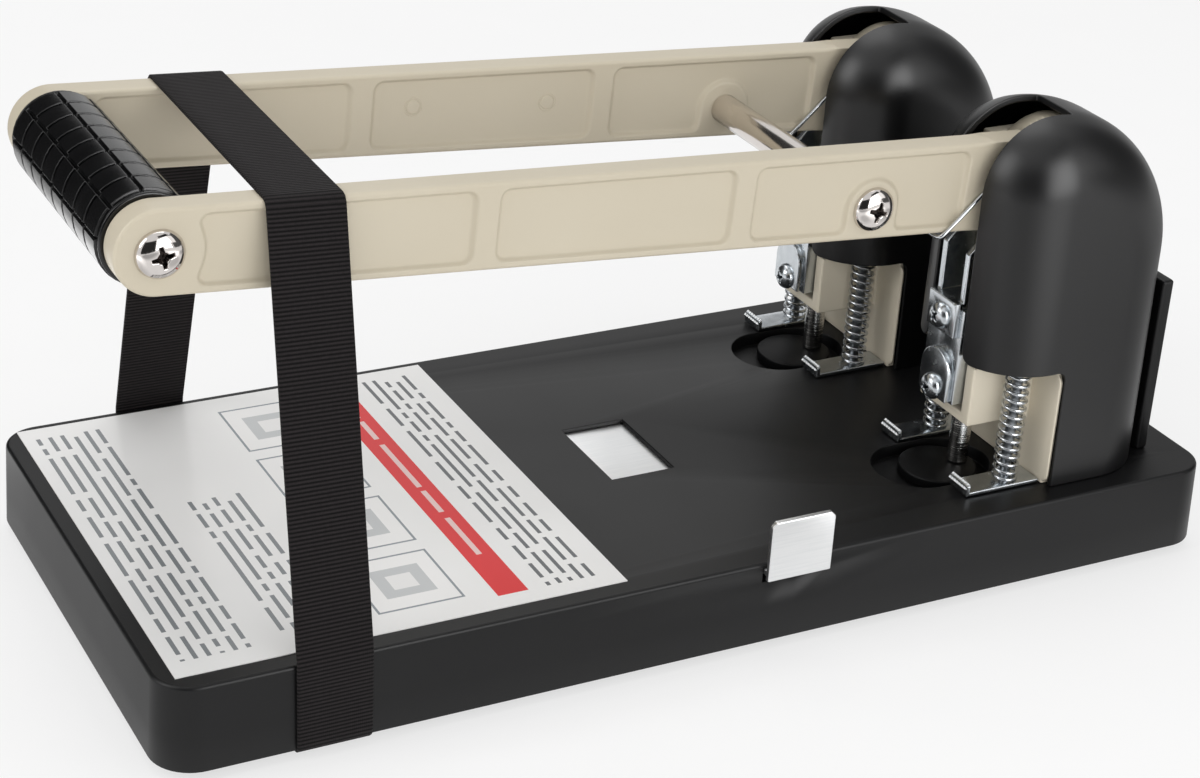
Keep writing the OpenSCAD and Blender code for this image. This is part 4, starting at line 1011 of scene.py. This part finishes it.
for foot, hand in FEET.items():
    side = foot.split("_")[0]
    seats = np.array([[ROD_X, hand * FOOT_Y, FOOT_TOP], [ROD_X, hand * FOOT_Y, BAR_LOW]])
    path = at_tower(coil_path() + seats[0], side)
    spring = make_piece(foot + "_foot_coil", *wire_skin(path, WIRE_R))
    settle(spring, wire, foot + "_foot_spring", rides=False)
    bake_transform(spring)
print("foot springs: 4 coils of", len(path), "stations")

# %% [markdown]
# ## Torsion springs
# Each arm is lifted by a double torsion spring: a coil on each side of the arm, joined by a bight that
# hooks under the arm. Half the path is worked out and mirrored. Corners are cut three times, which
# turns straight legs and bends into one smooth wire.

# %% Torsion springs
COIL_R, COIL_WIRE_R, HOOK_X = 7.2, 0.62, -19.2
LOW_AT_PIVOT, LOW_SLOPE = 98.0, 0.0711


def cut_corners(path, rounds=3):
    """Each round puts two points on each stretch, a quarter from its ends, and keeps the path's ends."""
    for _ in range(rounds):
        q = 0.75 * path[:-1] + 0.25 * path[1:]
        r = 0.25 * path[:-1] + 0.75 * path[1:]
        path = np.concatenate([path[:1], np.stack([q, r], 1).reshape(-1, 3), path[-1:]])
    return path


def arm_low(x):
    """Height of the arms' lower edge at x."""
    return LOW_AT_PIVOT + (PIVOT[0] - x) * LOW_SLOPE


def torsion_path():
    """Rear leg, one and a quarter turns about the pivot, and a front leg down to the hook."""
    px, pz, r, wide, narrow = PIVOT[0] - PUNCH_X, PIVOT[1] - BASE_TOP, COIL_R, 7.05, 4.85
    a = np.linspace(0, 2.5 * np.pi, 60)
    coil = np.stack([px + r * np.cos(a), wide + (narrow - wide) * a / a[-1], pz + r * np.sin(a)], -1)
    hook_z = arm_low(PUNCH_X + HOOK_X) - BASE_TOP - 1.1
    rear_leg = np.array([[px + r, wide, pz - 20], [px + r, wide, pz - 6]])
    front_leg = np.array([
        [3.5, narrow, pz + r], [-0.5, narrow, pz + r - 1.2], [-17.6, narrow, hook_z + 1.4],
        [HOOK_X, narrow - 0.5, hook_z], [-19.6, 2.4, hook_z], [-19.7, 0.0, hook_z],
    ])
    half = np.concatenate([rear_leg, coil, cut_corners(np.concatenate([coil[-1:], front_leg]))[1:]])
    return np.concatenate([half, half[-2::-1] * np.array([1, -1, 1])])


for side in TOWER_Y:
    spring = make_piece(side + "_torsion_wire", *wire_skin(at_tower(torsion_path(), side), COIL_WIRE_R))
    settle(spring, wire, side + "_torsion_spring", rides=False)
    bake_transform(spring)
print("torsion springs: 2")

# %% [markdown]
# ## The elastic strap
# The strap is one closed loop of webbing. Seen from the front it runs over both arms, slopes out to the
# edges of the base and goes under it. Corners are rounded by arcs, and a flat section with rounded edges
# is carried along the loop.

# %% Strap
STRAP_W, STRAP_T, STRAP_EDGE = 20.0, 1.2, 0.35
STRAP_X, TOP_LEAN, FAR_LEAN = -114.7, 2.7, 1.4
TOP_AT_GRIP, TOP_SLOPE = 137.9, 0.0565


def arm_top(x):
    """Height of the arms' upper edge at x: the line that touches the circles at both ends of an arm."""
    return TOP_AT_GRIP - TOP_SLOPE * (x - GRIP[0])


def rounded_loop(corners, radii, step):
    """A closed outline: each corner becomes an arc that touches both sides, then points at even steps."""
    before, after = (unit(np.roll(corners, k, 0) - corners) for k in (1, -1))
    half = np.arccos(np.clip((before * after).sum(1), -1, 1)) / 2
    trim = radii / np.tan(half)
    centre = corners + unit(before + after) * (radii / np.sin(half))[:, None]
    u = np.linspace(0, 1, 12)[None, :, None]
    a, b = corners + before * trim[:, None] - centre, corners + after * trim[:, None] - centre
    sweep = (np.pi - 2 * half)[:, None, None]
    arc = (np.sin((1 - u) * sweep) * a[:, None] + np.sin(u * sweep) * b[:, None]) / np.sin(sweep)
    loop = (centre[:, None] + arc).reshape(-1, 2)
    loop = np.concatenate([loop, loop[:1]])
    length = np.append(0, np.cumsum(np.linalg.norm(np.diff(loop, axis=0), axis=1)))
    even = np.linspace(0, length[-1], int(length[-1] / step))[:-1]
    return np.stack([np.interp(even, length, loop[:, k]) for k in (0, 1)], -1), length[-1]


def strap_surface():
    """Section points (across, out) on the loop: x from across, y and z from the loop and its normal."""
    top = arm_top(STRAP_X + TOP_LEAN) + 0.75
    half = np.array([[ARM_OUT + 0.85, top], [73.15, BASE_TOP + 0.4], [73.55, 1.85]])
    other = half * [-1, 1]
    corners = np.concatenate([other[:1], half, other[:0:-1]])
    loop, length = rounded_loop(corners, np.array([2.2, 2.2, 3.0, 2.4, 2.4, 3.0]), 1.5)
    along = unit(np.roll(loop, -1, 0) - np.roll(loop, 1, 0))
    out = np.stack([-along[:, 1], along[:, 0]], -1)
    w, t, e = STRAP_W / 2, STRAP_T / 2, STRAP_EDGE
    over = np.array([-w, -w + e, -w / 2, 0, w / 2, w - e, w])
    rise = np.array([t - e, t, t, t, t, t, t - e])
    across, thick = np.append(over, over[::-1]), np.append(rise, -rise)
    up = np.clip((loop[:, 1] - BASE_TOP) / (top - BASE_TOP), 0, 1)
    far = np.clip((loop[:, 0] + ARM_OUT) / (2 * ARM_OUT), 0, 1)
    x = (STRAP_X + TOP_LEAN * up + FAR_LEAN * far)[:, None] + across
    yz = loop[:, None] + out[:, None] * thick[:, None]
    z = yz[:, :, 1] - TOP_SLOPE * across * up[:, None]
    return grid(x, yz[:, :, 0], z, wrap_rows=True, wrap_cols=True), across, length


surface, across, strap_length = strap_surface()
strap = make_piece("strap_webbing", *surface)
print("strap: loop of %.0f mm" % strap_length)

# %% [markdown]
# The strap's map runs across it and along the loop in metres, so the ribs keep their size. The last row of
# quads closes the loop: there the first row's points count as one row past the last.

# %% Map and hold of the strap
corner = np.empty(len(strap.data.loops), int)
strap.data.loops.foreach_get("vertex_index", corner)
row, col = np.divmod(corner.reshape(-1, 4), len(across))
rows = row.max() + 1
closing = (row.min(1) == 0) & (row.max(1) == rows - 1)
row = np.where(closing[:, None] & (row == 0), rows, row)
uv = np.stack([(across[col] + STRAP_W / 2) * MM, row / rows * strap_length * MM], -1)
strap.data.uv_layers.new(name="UVMap").data.foreach_set("uv", uv.ravel())
settle(strap, webbing, "strap", rides=False)
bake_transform(strap)
print("map:", closing.sum(), "closing quads of", len(row))

# %% [markdown]
# ## The floor
# The floor is plain and pale. Part of its light comes from itself for rays that the camera or a shiny
# surface sends, so it stays white and still holds a soft shadow. To shiny surfaces alone, some round
# places on it look dimmer or brighter, as painted reflections of what lay round the real table.

# %% Floor
WHITE = (1, 1, 1, 1)
FLOOR_HALF, FLOOR_LOW, FLOOR_GLOW = 6e3, -0.3, 0.65
# Spots seen only by shiny surfaces: painted reflections, some glowing brighter than the floor.
# Centre in metres, inner and outer radius, level inside
FLOOR_SPOTS = (
    ((0.0, -0.2, 0.0), 0.05, 0.11, 0.5),
    ((0.29, -0.18, 0.0), 0.08, 0.16, 0.35),
    ((0.16, -0.42, 0.0), 0.08, 0.24, 3.2),
    ((-0.55, -0.06, 0.0), 0.15, 0.35, 2.5),
    ((0.45, 0.1, 0.0), 0.15, 0.3, 0.35),
    ((-0.32, 0.0, 0.0), 0.1, 0.18, 0.5),
    ((-0.42, -0.7, 0.0), 0.3, 0.45, 0.15),
    ((-0.19, 0.18, 0.0), 0.03, 0.09, 3.0),
)


def bare_tree(holder):
    """The emptied node tree of a material or a world."""
    holder.use_nodes = True
    holder.node_tree.nodes.clear()
    return holder.node_tree


def seen_rays(tree):
    """1 for rays that the camera, a shiny surface or a clear one sends, and 0 for others."""
    ray = add(tree, "LightPath").outputs
    seen = calc(tree, "MAXIMUM", ray["Is Camera Ray"], ray["Is Glossy Ray"])
    return calc(tree, "MAXIMUM", seen, ray["Is Transmission Ray"])


corners = np.array([[-1, -1], [1, -1], [1, 1], [-1, 1]]) * FLOOR_HALF
floor = make_piece("floor", np.insert(corners, 2, FLOOR_LOW, axis=1), [[0, 1, 2, 3]], closed=False)
paper = bpy.data.materials.new("Pale studio paper")
tree = bare_tree(paper)
place = add(tree, "TexCoord").outputs["Object"]
tone = mix(tree, noise(tree, place, 30, 2.0), linear("#f4f4f4"), linear("#f8f8f8"))
painted_reflection_level = 1.0
for spot, inner, outer, low in FLOOR_SPOTS:
    apart = add(tree, "VectorMath", {0: place, 1: spot}, operation="DISTANCE").outputs["Value"]
    painted_reflection_level = calc(tree, "MULTIPLY", painted_reflection_level, ramp(tree, apart, low, 1.0, inner, outer))
level = mix(tree, add(tree, "LightPath").outputs["Is Glossy Ray"], WHITE, painted_reflection_level)
matt = add(tree, "BsdfDiffuse", {"Color": tone})
glow = add(tree, "Emission", {"Color": level, "Strength": 1.0})
share = calc(tree, "MULTIPLY", seen_rays(tree), FLOOR_GLOW)
add(tree, "OutputMaterial", {"Surface": add(tree, "MixShader", {0: share, 1: matt, 2: glow})})
floor.data.materials.append(paper)
print("floor:", len(FLOOR_SPOTS), "spots")

# %% [markdown]
# ## Cards and the room
# Shiny pieces look like metal or gloss only when they have light and dark to reflect. Upright round cards
# stand about the punch, most of them dark drapes and one white, and only shiny surfaces see them. They are
# painted reflections, and the white one glows though it is no lamp. The room itself is an even pale light.

# %% Cards and room
# Name, start and end in degrees, low, high, level, distance from the middle
CARDS = (
    ("camera_drape", -155, -97, 0, 1400, 0.03, 1700),
    ("left_drape", 86, 150, 0, 1900, 0.03, 1700),
    ("low_left_drape", 108, 150, 0, 260, 0.03, 400),
    ("front_white", -95, -58, 60, 1500, 5.5, 1700),
    ("right_drape", -50, 20, 60, 1900, 0.1, 1700),
    ("upper_drape", -90, -28, 2000, 3300, 0.03, 1700),
    ("rear_drape", 25, 55, 200, 1500, 0.45, 1700),
)


def reflection_card(name, start, end, low, high, level, away):
    """An upright round card, `away` from the middle, that only shiny surfaces see: a painted reflection. It
    turns from `start` to `end` degrees, stands from `low` to `high` millimetres and shines at `level`."""
    card_finish = bpy.data.materials.new(name)
    tree = bare_tree(card_finish)
    clear = add(tree, "BsdfTransparent", {"Color": WHITE})
    shine = add(tree, "Emission", {"Color": WHITE, "Strength": level})
    shown = add(tree, "MixShader", {0: add(tree, "LightPath").outputs["Is Glossy Ray"], 1: clear, 2: shine})
    add(tree, "OutputMaterial", {"Surface": shown})
    turn = np.radians(np.linspace(start, end, 24))
    wall = grid(away * np.cos(turn), away * np.sin(turn), np.array([[low], [high]]))
    card = make_piece(name, *wall, closed=False)
    card.data.materials.append(card_finish)


for card in CARDS:
    reflection_card(*card)
world = bpy.data.worlds.new("Studio")
bpy.context.scene.world = world
tree = bare_tree(world)
room = add(tree, "Background", {"Color": WHITE, "Strength": ramp(tree, seen_rays(tree), 0.5, 0.82)})
add(tree, "OutputWorld", {"Surface": room})
print("cards:", len(CARDS))

# %% [markdown]
# ## Lamps and camera
# Large soft lamps light the punch at a plain level, and shiny surfaces don't see the low one in front. The
# camera stands where the photograph's did: its place and directions were fitted to measured points, and
# its lens follows from the fitted focal length.

# %% Lamps and camera
# Name, place, aim, size (all in metres), power
LAMPS = (
    ("Front right", (0.70, -0.95, 0.82), (0.05, 0.0, 0.08), (1.1, 0.8), 3.0),
    ("Left", (-1.15, 0.05, 0.85), (0.05, 0.0, 0.08), (0.6, 0.8), 5.5),
    ("Overhead", (0.15, 0.45, 1.3), (0.0, 0.0, 0.05), (0.9, 0.9), 4.0),
    ("Low fill", (-0.25, -1.3, 0.42), (0.05, 0.0, 0.06), (1.2, 0.5), 5.6),
)
FOCAL_PIXELS, PHOTO_WIDE, SENSOR = 2566.30, 1200.0, 36.0
RIGHT = np.array([0.88773797, -0.4568221, 0.0568759])
DOWN = np.array([-0.15902811, -0.42026388, -0.8933579])
AHEAD = np.array([0.43200851, 0.78402286, -0.44573176])
EYE = np.array([-316.97, -564.64, 367.72])


def stand(obj, right, up, back, place):
    """Puts a lamp or camera at a place in metres, with its own x, y and z along three directions."""
    matrix = np.eye(4)
    matrix[:3] = np.stack([right, up, back, place], 1)
    obj.matrix_world = Matrix(matrix.tolist())


for name, place, aim, size, power in LAMPS:
    lamp = bpy.data.lights.new(name, "AREA")
    lamp.shape = "RECTANGLE"
    lamp.size, lamp.size_y = size
    lamp.energy = power
    back = unit(np.subtract(place, aim))
    side = unit(np.cross(Z, back))
    stand(new_object(name, lamp), side, np.cross(back, side), back, place)
bpy.data.objects["Low fill"].visible_glossy = False

camera = new_object("Camera", bpy.data.cameras.new("Camera"))
camera.data.sensor_width = SENSOR
camera.data.lens = FOCAL_PIXELS * SENSOR / PHOTO_WIDE
camera.data.clip_start = 0.01
stand(camera, RIGHT, -DOWN, -AHEAD, EYE * MM)
bpy.context.scene.camera = camera
bpy.context.scene.view_settings.view_transform = "Standard"
print("lamps:", len(LAMPS), "and a lens of %.1f mm" % camera.data.lens)
